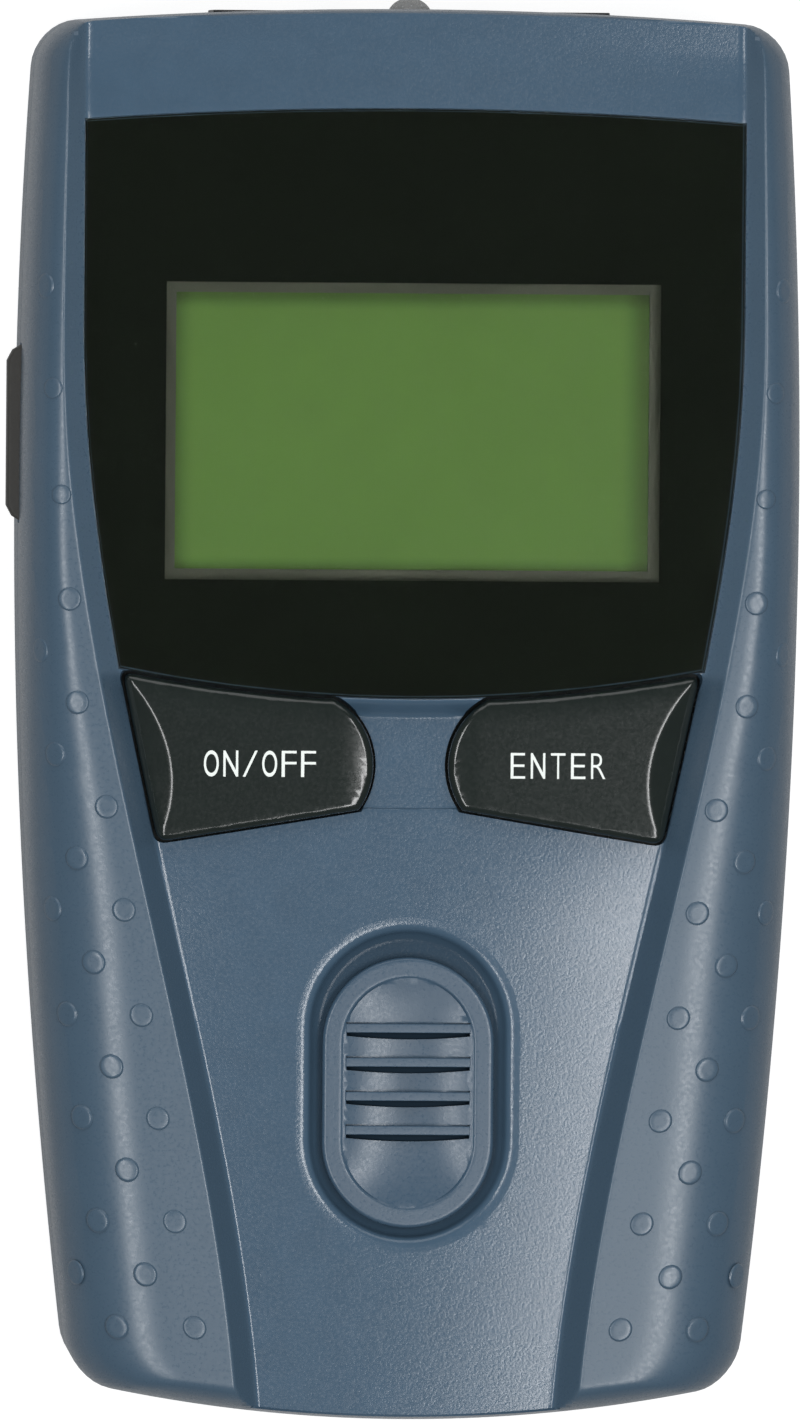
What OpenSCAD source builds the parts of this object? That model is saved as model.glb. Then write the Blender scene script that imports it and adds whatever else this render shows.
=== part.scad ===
// Handheld network cable tester, lying on its back.
// X runs across the case, Y towards the ports and Z up out of the face.
// The origin is under the middle of the case, on the plane of the back.

/* [Case] */
// Width of the case at its widest, across the grips
case_w = 80; // [79:1:90]
// Length of the case along its middle
case_l = 144; // [143:1:156]
// Height of the case from back to grip crests
case_h = 35; // [35:0.5:39]
// Height of the seam between the covers
seam_z = 17.5; // [16.5:0.5:18]
// Wall thickness of the covers
wall = 2; // [1.6:0.1:2.2]
// Station of the widest place, from the middle
widest_y = 24; // [10:1:35]
// Bulge radius of the sides towards the ports
side_r_port = 510; // [400:10:700]
// Bulge radius of the sides towards the tail
side_r_tail = 690; // [550:10:900]
// Bulge radius of the port end
port_end_r = 450; // [300:10:700]
// Bulge radius of the tail end
tail_end_r = 150; // [130:5:300]
// Corner radius seen from the front
corner_r = 4.5; // [3:0.5:6]
// Height of the rounding of the front edges
front_round = 10; // [9:0.5:11]
// Width of that rounding at the port end
round_w_port = 6.5; // [6:0.5:8]
// Width of that rounding at the tail end
round_w_tail = 12; // [10:0.5:13]
// How far the port end rolls back at the face
port_roll = 1; // [0.5:0.25:1.5]
// How far the tail end rolls back at the face
tail_roll = 3; // [1:0.25:3.5]
// Rounding of the long back edges
back_round = 6; // [4:0.5:6.5]
// Rounding of the back edges at the two ends
back_roll = 4; // [3:0.5:4.5]

/* [Sunk middle] */
// Width of a grip at the port end
grip_top_w = 4.2; // [4:0.1:5]
// How much wider the grips grow towards the tail
flare = 18.9; // [17:0.1:19.5]
// Station where the grips start to widen
flare_start = 40; // [36:1:42]
// Length over which they widen
flare_run = 122; // [118:1:130]
// Width of the slope between a grip's edge and the sunk middle
slope_w = 2.2; // [1.8:0.1:2.4]
// Drop from the grip crests to the display plateau
plateau_drop = 2.1; // [1.8:0.1:2.3]
// Drop from the grip crests to the tail end's sunk face
face_drop = 3.6; // [3.4:0.1:3.8]
// Extra drop around the keys
key_bed_drop = 0.3; // [0.1:0.1:0.5]
// Width of the slope under the lens
foot_w = 1.6; // [1:0.1:1.8]
// Thickness of the cover under the face and the plateau
shelf_drop = 5.2; // [5:0.1:5.4]

/* [Lens and display] */
// Lens edge towards the ports, on the middle line
lens_port_y = 61.8; // [60:0.1:63]
// Lens edge towards the tail, on the middle line
lens_tail_y = 1.85; // [1:0.05:3]
// Bow radius of the lens's port edge
lens_port_r = 440; // [300:10:600]
// Bow radius of the lens's tail edge
lens_tail_r = 152; // [130:1:200]
// Thickness of the lens
lens_t = 1.4; // [1.2:0.1:1.4]
// Lip of the cover along the lens's tail edge
lens_lip = 0.3; // [0.2:0.1:0.5]
// Middle of the display window, from the middle of the case
window_y = 28.95; // [28:0.05:30]
// Width of the window in the black print
window_w = 50.4; // [49.5:0.1:51]
// Length of the window in the black print
window_l = 30.3; // [29:0.1:31]
// Width of the opening in the display's bezel
view_w = 48.3; // [46:0.1:49]
// Length of the opening in the display's bezel
view_l = 28.2; // [26:0.1:28.6]
// Width of the display board
display_board_w = 63.4; // [63:0.1:64]
// Length of the display board
display_board_l = 39; // [38:0.5:40]
// Thickness of the display board
display_board_t = 1; // [0.8:0.1:1]
// Thickness of the display's glass
glass_t = 1.4; // [1.1:0.1:1.6]
// Height of the header between the two boards
header_h = 1.8; // [1.7:0.1:2]

/* [Main board] */
// Thickness of the main board
board_t = 1.6; // [1.2:0.1:1.6]
// Room between the main board's edge and the case wall
board_room = 2.6; // [2.5:0.1:3]

/* [Keys] */
// Travel of the ON/OFF and ENTER keys
key_travel = 1.2; // [0.8:0.1:1.3]
// Running gap around every key
key_gap = 0.25; // [0.15:0.05:0.3]
// Height of the keys above their bed
key_h = 1.7; // [1.2:0.1:2]
// Nose radius of a key, towards the middle line
key_nose_r = 7.7; // [7:0.1:8.5]
// Distance of the nose's centre from the middle line
key_nose_x = 11.5; // [11:0.1:12.5]
// Distance of the nose's centre below the lens edge
key_nose_y = 6.9; // [6.5:0.1:7.3]
// Distance of the keys' lower edge below the lens edge
key_low_y = 10.35; // [10:0.05:11]
// Fall of the keys' lower edge towards the sides
key_low_slope = 0.173; // [0.1:0.01:0.2]
// Thickness of a key's retaining flange
key_flange_t = 1.3; // [1:0.1:1.4]
// Diameter of a key's rubber dome
dome_d = 11; // [10:0.5:11.5]

/* [Thumb slider] */
// Middle of the slider, from the tail end
slider_tail = 33.6; // [33:0.1:34]
// Width of the slider
slider_w = 17.5; // [17:0.1:18]
// Length of the slider
slider_l = 27.6; // [27:0.1:28.5]
// Travel of the slider
slider_travel = 2; // [1.5:0.1:2]
// Depth of the slider's moat
moat_depth = 2.1; // [1.8:0.1:2.1]
// Width of the moat beside the slider
moat_w = 1.6; // [1.2:0.1:1.8]
// Ribs under the thumb
rib_count = 4; // [3:1:5]
// Distance from rib to rib
rib_pitch = 3.47; // [3:0.01:3.6]
// Length of a rib
rib_l = 12.7; // [11:0.1:13]

/* [Side key] */
// Middle of the side key, from the middle of the case
side_key_y = 28.4; // [27:0.1:30]
// Length of the side key
side_key_l = 18; // [16:0.5:19]
// Height of the side key
side_key_h = 4.9; // [4.5:0.1:5]
// How far the side key stands proud
side_key_proud = 1.1; // [0.8:0.1:1.2]
// Travel of the side key
side_key_travel = 0.5; // [0.3:0.05:0.6]

/* [Ports and lamp] */
// Distance of each port's middle from the middle line
jack_x = 12.3; // [12:0.1:13]
// Width of a port
jack_w = 16; // [15.5:0.1:16.4]
// Length of a port
jack_l = 18; // [16:0.5:19]
// Height of a port
jack_h = 13.3; // [13:0.1:13.6]
// How far a port stands proud of the case
jack_proud = 0.3; // [0.1:0.1:0.5]
// Diameter of the lamp
lamp_d = 5; // [4.8:0.1:5.2]
// How far the lamp's dome stands proud of the case
lamp_proud = 1.2; // [0.8:0.1:1.5]

/* [Battery] */
// Width of the battery
cell_w = 26.5; // [25.5:0.1:26.5]
// Length of the battery without its studs
cell_l = 46.2; // [45:0.1:46.4]
// Height of the battery
cell_h = 17.5; // [16.5:0.1:17.5]
// Width of the battery door
door_w = 34; // [33:0.5:35]
// Thickness of the battery door
door_t = 1.8; // [1.5:0.1:1.8]

/* [Screws] */
// Shank diameter of the case screws
case_screw_d = 2.9; // [2.5:0.1:3]
// Shank diameter of the board screws
board_screw_d = 2.2; // [2:0.1:2.4]
// Shank diameter of the display screws
display_screw_d = 1.7; // [1.6:0.1:1.8]

/* [Hidden] */
$fn = 32;

// Clearances: between parts that slide, and between a screw and its hole
slide_gap = 0.2;
screw_gap = 0.06;

// Longer than the case, and the bow radius of an edge that is straight
far = 200;
straight = 1e6;

// Levels, from the crests of the grips downwards
shoulder_z = case_h - front_round;
plateau_z = case_h - plateau_drop;
face_z = case_h - face_drop;
key_bed_z = face_z - key_bed_drop;
shelf_z = case_h - shelf_drop;
mask_t = 0.15;
mask_in = 0.2;
lens_gap = 0.1;
lens_sink = 0.1;
window_room = 0.8;
lens_top = plateau_z - lens_sink;
ledge_z = lens_top - lens_t - mask_t;
bezel_sheet = 0.4;
bezel_top = shelf_z - 0.1;
glass_top = bezel_top - bezel_sheet;
light_t = 1.7;
display_board_top = glass_top - glass_t - light_t;
board_top = display_board_top - display_board_t - header_h;
board_z = board_top - board_t;
jack_z = board_z - jack_h;

// Levels, from the back upwards
cell_z = door_t + 0.5;
bay_roof_z = cell_z + cell_h + slide_gap;
bay_roof_t = 1;

// Case half width at a station, and how far a bowed end falls back from its middle
function half_w(y) = case_w/2
    - pow(y - widest_y, 2)/(2*(y > widest_y ? side_r_port : side_r_tail));
function bow(x, r) = x*x/(2*r);
function mix(a, b, t) = a + (b - a)*t;
function smooth(t) = let(k = max(0, min(1, t))) k*k*(3 - 2*k);
function round_w(y) = mix(round_w_tail, round_w_port, smooth(y/case_l + 0.5));

// Inner edge of a grip, and the foot of the slope below it
function grip_edge(y) = case_w/2 - grip_top_w - flare*smooth((flare_start - y)/flare_run);
function slope_foot(y) = grip_edge(y) - slope_w;

// Unit outline of the case: sides, ends and rounded corners run from -1 to 1
side_steps = 12;
end_steps = 8;
corner_steps = 4;
corner_u = corner_r/(case_w/2);
corner_v = corner_r/(case_l/2);
function corner(su, sv, start) = [for (i = [1:corner_steps - 1]) let(a = start + 90*i/corner_steps)
    [su*(1 - corner_u) + corner_u*cos(a), sv*(1 - corner_v) + corner_v*sin(a)]];
unit_outline = concat(
    [for (i = [0:side_steps]) [1, mix(corner_v - 1, 1 - corner_v, i/side_steps)]],
    corner(1, 1, 0),
    [for (i = [0:end_steps]) [mix(1 - corner_u, corner_u - 1, i/end_steps), 1]],
    corner(-1, 1, 90),
    [for (i = [0:side_steps]) [-1, mix(1 - corner_v, corner_v - 1, i/side_steps)]],
    corner(-1, -1, 180),
    [for (i = [0:end_steps]) [mix(corner_u - 1, 1 - corner_u, i/end_steps), -1]],
    corner(1, -1, 270));

// A point of the case's skin: side_in, port_in and tail_in set the sides and ends inwards
function skin(p, z, side_in, port_in, tail_in) = let(
    y0 = p[1]*case_l/2,
    x = p[0]*(half_w(y0) - side_in),
    fall = p[1] > 0 ? bow(x, port_end_r) + port_in : bow(x, tail_end_r) + tail_in)
    [x, y0 - p[1]*fall, z];

// Rings of the front and back skins; inset moves them inwards by a wall's thickness
round_steps = 6;
function front_ring(a, inset) = let(s = 1 - cos(a))
    [for (p = unit_outline) skin(p, shoulder_z + (front_round - inset)*sin(a),
        inset + (round_w(p[1]*case_l/2) - inset)*s, inset + port_roll*s, inset + tail_roll*s)];
function back_ring(a, inset) = let(s = 1 - cos(a))
    [for (p = unit_outline) skin(p, back_round - (back_round - inset)*sin(a),
        inset + (back_round - inset)*s, inset + back_roll*s, inset + back_roll*s)];
function flat_ring(z, inset) = [for (p = unit_outline) skin(p, z, inset, inset, inset)];
function front_rings(z, inset) = concat([flat_ring(z, inset)],
    [for (i = [0:round_steps]) front_ring(90*i/round_steps, inset)]);
function back_rings(z, inset) = concat(
    [for (i = [round_steps:-1:0]) back_ring(90*i/round_steps, inset)], [flat_ring(z, inset)]);

// A closed solid through rings of equal length, with a fan of faces at each end
function middle(ring) = [for (k = [0:2]) [for (p = ring) p[k]]*[for (p = ring) 1]/len(ring)];
module loft(rings) {
    n = len(rings[0]);
    last = len(rings) - 1;
    points = concat([for (r = rings) each r], [middle(rings[0]), middle(rings[last])]);
    low = n*(last + 1);
    faces = concat(
        [for (k = [0:last - 1], i = [0:n - 1]) let(j = (i + 1) % n)
            each [[k*n + i, (k + 1)*n + i, (k + 1)*n + j], [k*n + i, (k + 1)*n + j, k*n + j]]],
        [for (i = [0:n - 1]) let(j = (i + 1) % n)
            each [[low, i, j], [low + 1, last*n + j, last*n + i]]]);
    polyhedron(points, faces);
}

module front_skin(inset) loft(front_rings(seam_z - (inset > 0 ? 1 : 0), inset));
module back_skin(inset) loft(back_rings(seam_z + (inset > 0 ? 1 : 0), inset));

// Screws: how far each bites into its post, and the heads and seats of the case screws
case_bite = 8;
board_bite = 4.5;
display_bite = 2.8;
head_seat_z = 8;
case_head_d = 5.2;
case_head_t = 1.8;
module pilot(z, d, bite) translate([0, 0, z - 1]) cylinder(d = d + 2*screw_gap, h = bite + 1.5, $fn = 16);

// Outline of the sunk middle from a straight tail edge to a bowed port edge
middle_steps = 14;
function middle_outline(tail_y, port_y, port_r, spread) = let(
    w = slope_foot(port_y),
    right = [for (i = [0:middle_steps]) let(y = mix(tail_y, port_y + bow(w, port_r), i/middle_steps))
        [slope_foot(y) + spread, y]],
    arc = [for (i = [1:middle_steps - 1]) let(x = mix(w + spread, -w - spread, i/middle_steps))
        [x, port_y + bow(x, port_r)]])
    concat(right, arc, [for (i = [middle_steps:-1:0]) [-right[i][0], right[i][1]]]);
function raised(outline, z) = [for (p = outline) [p[0], p[1], z]];
slope_top_y = lens_tail_y - lens_lip;
slope_foot_y = slope_top_y - foot_w;
past_tail = -case_l/2 - 9;

// Outline of the lens, grown by a gap on every side
lens_steps = 10;
function lens_outline(grow) = let(
    tail_x = slope_foot(lens_tail_y + 3),
    port_x = slope_foot(lens_port_y),
    tail_y = lens_tail_y + bow(tail_x, lens_tail_r) - grow,
    port_y = lens_port_y - bow(port_x, lens_port_r) + grow)
    concat(
        [for (i = [0:lens_steps]) let(y = mix(tail_y, port_y, i/lens_steps)) [slope_foot(y) + grow, y]],
        [for (i = [1:lens_steps - 1]) let(x = mix(port_x, -port_x, i/lens_steps))
            [x, lens_port_y + grow - bow(x, lens_port_r)]],
        [for (i = [lens_steps:-1:0]) let(y = mix(tail_y, port_y, i/lens_steps))
            [-slope_foot(y) - grow, y]],
        [for (i = [1:lens_steps - 1]) let(x = mix(-tail_x, tail_x, i/lens_steps))
            [x, lens_tail_y - grow + bow(x, lens_tail_r)]]);

// Outline of the right-hand key, grown by a gap on every side
key_steps = 8;
key_side_in = 0.3;
key_corner = 1.2;
key_lens_gap = 0.35;
nose_from = 118;
nose_to = 216;
function key_top(x, grow) = lens_tail_y - key_lens_gap + grow + bow(x, lens_tail_r);
function key_low(x, grow) = lens_tail_y - key_low_y - key_low_slope*x - grow;
function key_outline(grow) = let(
    cy = lens_tail_y - key_nose_y,
    r = key_nose_r + grow,
    out_top = slope_foot(key_top(slope_foot(0), 0)) - key_side_in + grow,
    out_low = slope_foot(key_low(slope_foot(-10), 0)) - key_side_in + grow,
    top_y = key_top(out_top, grow),
    low_y = key_low(out_low, grow))
    concat(
        [[out_low - key_corner, key_low(out_low - key_corner, grow)],
         [out_low - key_corner/4, low_y + 0.4*key_corner]],
        [for (i = [1:key_steps - 1]) let(y = mix(low_y, top_y, i/key_steps))
            [slope_foot(y) - key_side_in + grow, y]],
        [[out_top - key_corner/4, top_y - 0.4*key_corner]],
        [for (i = [0:key_steps - 1])
            let(x = mix(out_top - key_corner, key_nose_x + r*cos(nose_from), i/key_steps))
            [x, key_top(x, grow)]],
        [for (i = [0:key_steps]) let(a = mix(nose_from, nose_to, i/key_steps))
            [key_nose_x + r*cos(a), cy + r*sin(a)]]);

// A flat shape with half-round ends, standing along Y
module pill(w, l) {
    square([w, l - w], center = true);
    for (s = [-1, 1]) translate([0, s*(l - w)/2]) circle(d = w);
}
module block(x, y, z) translate([x[0], y[0], z[0]]) cube([x[1] - x[0], y[1] - y[0], z[1] - z[0]]);
module both_sides() {
    children();
    mirror([1, 0, 0]) children();
}

// Places of the screws: in from the case's sides and ends, from the display board's edges,
// and, for the two beside the battery, from the middle of the case
case_post_r = 3;
port_post = [case_w/2 - 8.5, case_l/2 - 7.5];
tail_post = [case_w/2 - 13, 12 - case_l/2];
board_post_r = 2.4;
board_post_gap = 0.7;
upper_post = [case_w/2 - 8, window_y + display_board_l/2 + board_post_gap + board_post_r];
lower_post = [24.4, -24];
display_post_r = 1.7;
display_post_in = [1.8, 3];
module at_case_posts() both_sides() for (p = [port_post, tail_post]) translate(p) children();
module at_board_posts() both_sides() for (p = [upper_post, lower_post]) translate(p) children();
module at_display_posts() both_sides() for (s = [-1, 1])
    translate([display_board_w/2 - display_post_in[0], window_y
        + s*(display_board_l/2 - display_post_in[1])]) children();

// Slider levels and moat, with room for the travel at the port end
slider_y = case_l/2 - slider_tail;
moat_z = face_z - moat_depth;
moat_wall = 1.4;
moat_roll = 1;
pad_z = moat_z + slide_gap;
pad_rim = 2.05;
pad_top_z = face_z + 0.4;
dish_depth = 1;
dish_r = 90;
rib_w = 1.1;
rib_shift = 1.1;
stem_w = 5;
stem_l = 9;
stem_z = moat_z - moat_wall - 0.8;
foot_t = 0.6;
foot_out = 1.2;
moat_port_w = slider_travel + 0.4;
moat_l = slider_l + moat_w + moat_port_w;
moat_y = (moat_port_w - moat_w)/2;
knob_gap = 0.1;
knob_w = 1.6;
knob_h = 2.9;

// Ports and lamp
jack_front = case_l/2 + jack_proud;
jack_back = jack_front - jack_l;
lamp_stand = 4.3;
lamp_z = board_z - lamp_stand;
wall_cut = 6;

// Side key
side_key_z = seam_z + slide_gap;
side_x = half_w(side_key_y);
side_flange_grow = 1.4;
side_flange_x = half_w(side_key_y + side_key_l/2 + side_flange_grow) - wall - slide_gap;
side_flange_t = 1;

// Battery bay, from the tail wall towards the ports
bay_half = door_w/2 + 1.8;
bay_wall = 1.2;
bay_tail_y = wall + bow(bay_half + bay_wall, tail_end_r) + slide_gap + bay_wall - case_l/2;
foam_t = 1.6;
cell_gap = 0.1;
cell_tail_y = bay_tail_y + foam_t + cell_gap;
cell_port_y = cell_tail_y + cell_l;
stud_h = 2.3;
snap_t = 4;
snap_y = cell_port_y + slide_gap;
bay_port_y = snap_y + snap_t + 2.3;
door_port_y = bay_port_y + bay_wall;
rail_w = 1.4;
rail_t = 1;
rail_in = 0.6;
door_end_h = wall + slide_gap + rail_t;
stud_x = 6.35;
lead_x = 4.5;
lead_d = 1.5;
lead_z = cell_z + 13;
lead_bend = 3;
lead_run = 6;
lead_end_y = snap_y + snap_t + lead_run + lead_bend;

shelf_lap = 0.4;
plateau_lap = 20;
bed_in = 0.1;
moat_rim = 3;
module front_cover() color("slategray") difference() {
    union() {
        difference() {
            front_skin(0);
            difference() {
                front_skin(wall);
                translate([0, 0, shelf_z]) linear_extrude(far)
                    polygon(middle_outline(-far/2, far/2, straight, slope_w + shelf_lap));
            }
        }
        intersection() {
            front_skin(0);
            union() {
                at_case_posts() hull() {
                    translate([0, 0, seam_z]) cylinder(r = case_post_r, h = case_h - seam_z);
                    translate([0, 0, shelf_z]) cylinder(r = case_post_r + 1, h = case_h - shelf_z);
                }
                at_board_posts() hull() {
                    translate([0, 0, board_top]) cylinder(r = board_post_r, h = case_h - board_top);
                    translate([0, 0, shelf_z]) cylinder(r = board_post_r + 0.5, h = 1);
                }
                at_display_posts() translate([0, 0, display_board_top])
                    cylinder(r = display_post_r, h = shelf_z + 1 - display_board_top);
                translate([0, moat_y - slider_y, moat_z - moat_wall]) linear_extrude(moat_wall + 1)
                    pill(slider_w + 2*moat_w + moat_rim, moat_l + moat_rim);
            }
        }
    }
    // Plateau, face and key bed between the grips
    loft([raised(middle_outline(-plateau_lap, far/2, straight, 0), plateau_z),
        raised(middle_outline(-plateau_lap, far/2, straight, slope_w*(plateau_drop + 1)/plateau_drop),
            case_h + 1)]);
    loft([raised(middle_outline(past_tail, slope_foot_y, lens_tail_r, 0), face_z),
        raised(middle_outline(past_tail, slope_top_y, lens_tail_r,
            slope_w*(face_drop - plateau_drop)/face_drop), plateau_z),
        raised(middle_outline(past_tail, slope_top_y, lens_tail_r,
            slope_w*(face_drop + 1)/face_drop), case_h + 1)]);
    intersection() {
        translate([0, 0, key_bed_z]) linear_extrude(1)
            polygon([[-far, key_low(far, key_side_in)], [0, key_low(0, key_side_in)],
                [far, key_low(far, key_side_in)], [far, far], [-far, far]]);
        translate([0, 0, key_bed_z]) linear_extrude(1)
            polygon(middle_outline(past_tail, slope_foot_y - bed_in, lens_tail_r, -bed_in));
    }
    // Lens pocket and display window
    translate([0, 0, ledge_z]) linear_extrude(far) polygon(lens_outline(lens_gap));
    translate([0, window_y, shelf_z]) linear_extrude(2*(ledge_z - shelf_z), center = true)
        square([window_w + 2*window_room, window_l + 2*window_room], center = true);
    // Key wells
    both_sides() translate([0, 0, shelf_z - 1]) linear_extrude(far) polygon(key_outline(key_gap));
    // Slider moat with soft edges, and the slot for the slider's stem
    translate([0, moat_y - slider_y, moat_z]) hull() {
        linear_extrude(0.1) pill(slider_w + 2*moat_w, moat_l);
        translate([0, 0, moat_depth - 0.6]) linear_extrude(0.1) pill(slider_w + 2*moat_w + 0.4, moat_l + 0.4);
        translate([0, 0, moat_depth]) linear_extrude(1)
            pill(slider_w + 2*moat_w + 2*moat_roll, moat_l + 2*moat_roll);
    }
    block([-stem_w/2 - slide_gap, stem_w/2 + slide_gap],
        [-slider_y - stem_l/2 - slide_gap, slider_travel - slider_y + stem_l/2 + slide_gap],
        [moat_z - moat_wall - 1, moat_z + 1]);
    // Openings in the walls
    both_sides() block([jack_x - jack_w/2 - slide_gap, jack_x + jack_w/2 + slide_gap],
        [case_l/2 - wall_cut, case_l/2 + wall_cut], [0, board_z + slide_gap]);
    translate([0, case_l/2 - wall_cut, lamp_z]) rotate([-90, 0, 0])
        cylinder(d = lamp_d + 2*slide_gap, h = 2*wall_cut);
    block([-side_x - wall_cut, wall_cut - side_x], [side_key_y - side_key_l/2 - slide_gap,
        side_key_y + side_key_l/2 + slide_gap], [0, side_key_z + side_key_h + slide_gap]);
    // Pilot holes
    at_case_posts() pilot(seam_z, case_screw_d, case_bite);
    at_board_posts() pilot(board_top, board_screw_d, board_bite);
    at_display_posts() pilot(display_board_top, display_screw_d, display_bite);
}

rest_posts = [[26, 6], [23, 46]];
rib_places = [0.2, 0.8];
label = [[-22, 22], [14, 44]];
label_deep = 0.3;
module rear_cover() color("slategray") difference() {
    union() {
        difference() {
            back_skin(0);
            back_skin(wall);
        }
        intersection() {
            union() {
                back_skin(0);
                front_skin(0);
            }
            union() {
                at_case_posts() hull() {
                    cylinder(r = case_post_r + 0.6, h = seam_z);
                    cylinder(r = case_post_r + 1.2, h = wall + 1);
                }
                both_sides() for (p = rest_posts) hull() {
                    translate([p[0], p[1], 0.5]) cylinder(r = 2.6, h = wall);
                    translate([p[0], p[1], 0.5]) cylinder(r = 1.8, h = board_z - slide_gap - 0.5);
                }
                block([-bay_half - bay_wall, bay_half + bay_wall],
                    [bay_tail_y - bay_wall, door_port_y], [0, bay_roof_z + bay_roof_t]);
            }
        }
    }
    // Inside of the battery bay, less its ribs
    difference() {
        block([-bay_half, bay_half], [bay_tail_y, bay_port_y], [-1, bay_roof_z]);
        both_sides() for (t = rib_places) translate([0, mix(cell_tail_y, cell_port_y, t), 0])
            block([cell_w/2 + cell_gap, bay_half + 1], [-bay_wall/2, bay_wall/2],
                [cell_z + 2, bay_roof_z + 1]);
    }
    // Doorway in the back and in the tail wall, and the notch for the leads
    block([-door_w/2 - slide_gap, door_w/2 + slide_gap], [-case_l, door_port_y],
        [-1, door_end_h + slide_gap]);
    block([-bay_half, bay_half], [-case_l, bay_port_y], [wall, door_end_h + slide_gap]);
    block([-lead_x - lead_d, lead_x + lead_d], [bay_port_y - 1, door_port_y + 1],
        [lead_z - lead_d, lead_z + lead_d]);
    // Openings in the walls
    both_sides() block([jack_x - jack_w/2 - slide_gap, jack_x + jack_w/2 + slide_gap],
        [case_l/2 - wall_cut, case_l/2 + wall_cut], [jack_z - slide_gap, case_h]);
    translate([0, case_l/2 - wall_cut, lamp_z]) rotate([-90, 0, 0])
        cylinder(d = lamp_d + 2*slide_gap, h = 2*wall_cut);
    // Screw holes from the back, and the shallow label field
    at_case_posts() {
        translate([0, 0, -1]) cylinder(d = case_head_d + 0.6, h = head_seat_z + 1, $fn = 24);
        cylinder(d = case_screw_d + 2*slide_gap, h = seam_z + 1, $fn = 16);
    }
    block(label[0], label[1], [-1, label_deep]);
}

// Plate, tail end and retaining rails of the sliding battery door
door_steps = 8;
door_tail_y = bay_tail_y - bay_wall + 2*slide_gap;
function door_profile(x) = let(
    y = function(a) -case_l/2 + bow(x, tail_end_r) + back_roll*(1 - cos(a)),
    z = function(a) back_round*(1 - sin(a)))
    concat([[x, door_port_y - slide_gap, 0]],
        [for (a = [90:-15:30]) [x, y(a), z(a)]],
        [[x, y(30), door_end_h], [x, door_tail_y, door_end_h],
         [x, door_tail_y, door_t], [x, door_port_y - slide_gap, door_t]]);
module door_plate() {
    loft([for (i = [0:door_steps]) door_profile(mix(door_w/2, -door_w/2, i/door_steps))]);
    both_sides() {
        block([door_w/2 - rail_w - rail_in, door_w/2 - rail_in], [door_tail_y, door_port_y - 2],
            [door_t - 0.2, door_end_h]);
        block([door_w/2 - rail_w - rail_in, door_w/2 + rail_w], [door_tail_y, door_port_y - 2],
            [wall + slide_gap, door_end_h]);
    }
}
groove_n = 8;
groove_pitch = 2;
groove_l = 14;
groove_deep = 0.4;
groove_start = 7;
module battery_door() color("slategray") difference() {
    door_plate();
    for (i = [0:groove_n - 1]) translate([0, door_port_y - groove_start - i*groove_pitch, -1]) hull()
        for (sx = [-1, 1]) translate([sx*groove_l/2, 0, 0]) cylinder(d = 1, h = 1 + groove_deep, $fn = 12);
}

module display_lens() color([0.1, 0.1, 0.12, 0.6])
    translate([0, 0, ledge_z + mask_t]) linear_extrude(lens_t) polygon(lens_outline(0));

module lens_mask() color("black") translate([0, 0, ledge_z]) linear_extrude(mask_t) difference() {
    polygon(lens_outline(-mask_in));
    translate([0, window_y]) square([window_w, window_l], center = true);
}

bezel_w = 56;
bezel_l = 36;
module lcd_bezel() color("darkgray") translate([0, window_y, display_board_top]) difference() {
    linear_extrude(bezel_top - display_board_top) square([bezel_w, bezel_l], center = true);
    translate([0, 0, -1]) linear_extrude(glass_top - display_board_top + 1)
        square([bezel_w - 2*bezel_sheet, bezel_l - 2*bezel_sheet], center = true);
    linear_extrude(far) square([view_w, view_l], center = true);
}

glass_w = bezel_w - 2*bezel_sheet - 2*slide_gap;
glass_l = bezel_l - 2*bezel_sheet - 2*slide_gap;
strip_w = 2;
module lcd_glass() color("olivedrab") translate([0, window_y, glass_top - glass_t])
    linear_extrude(glass_t) square([glass_w, glass_l], center = true);
module lcd_backlight() color("white") translate([0, window_y, display_board_top])
    linear_extrude(light_t) square([glass_w - 2, glass_l - 2*strip_w - 1], center = true);
module lcd_contact_strips() color("dimgray") for (s = [-1, 1])
    translate([0, window_y + s*(glass_l - strip_w)/2, display_board_top])
        linear_extrude(light_t) square([glass_w - 4, strip_w], center = true);

module lcd_board() color("seagreen") translate([0, 0, display_board_top - display_board_t])
    linear_extrude(display_board_t) difference() {
        translate([0, window_y]) square([display_board_w, display_board_l], center = true);
        at_display_posts() circle(d = display_screw_d + 0.3);
    }
header_w = 40.6;
header_t = 2.5;
module lcd_header() color("black") translate([0, window_y + display_board_l/2 - 2, board_top])
    linear_extrude(header_h) square([header_w, header_t], center = true);

// Main board: full width beside the display and the keys, a neck between the port posts, and a
// tongue that reaches over the battery to the slide switch
function board_half(y) = half_w(y) - wall - board_room;
board_steps = 8;
board_low_y = -8;
neck = port_post - [case_post_r + 1, case_post_r + 1];
tongue_x = 20;
tongue_y = -slider_y - 12;
ear = 4;
board_half_outline = concat(
    [[tongue_x, tongue_y], [tongue_x, lower_post[1] - ear - 6], lower_post + [ear, -ear],
     lower_post + [ear, ear]],
    [for (i = [0:board_steps]) let(y = mix(board_low_y, neck[1], i/board_steps)) [board_half(y), y]],
    [neck, [neck[0], case_l/2 - wall - 2]]);
board_outline = concat(board_half_outline,
    [for (i = [len(board_half_outline) - 1:-1:0]) [-board_half_outline[i][0], board_half_outline[i][1]]]);
module main_board() color("seagreen") translate([0, 0, board_z]) linear_extrude(board_t) difference() {
    polygon(board_outline);
    at_board_posts() circle(d = board_screw_d + 0.3);
}

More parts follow.
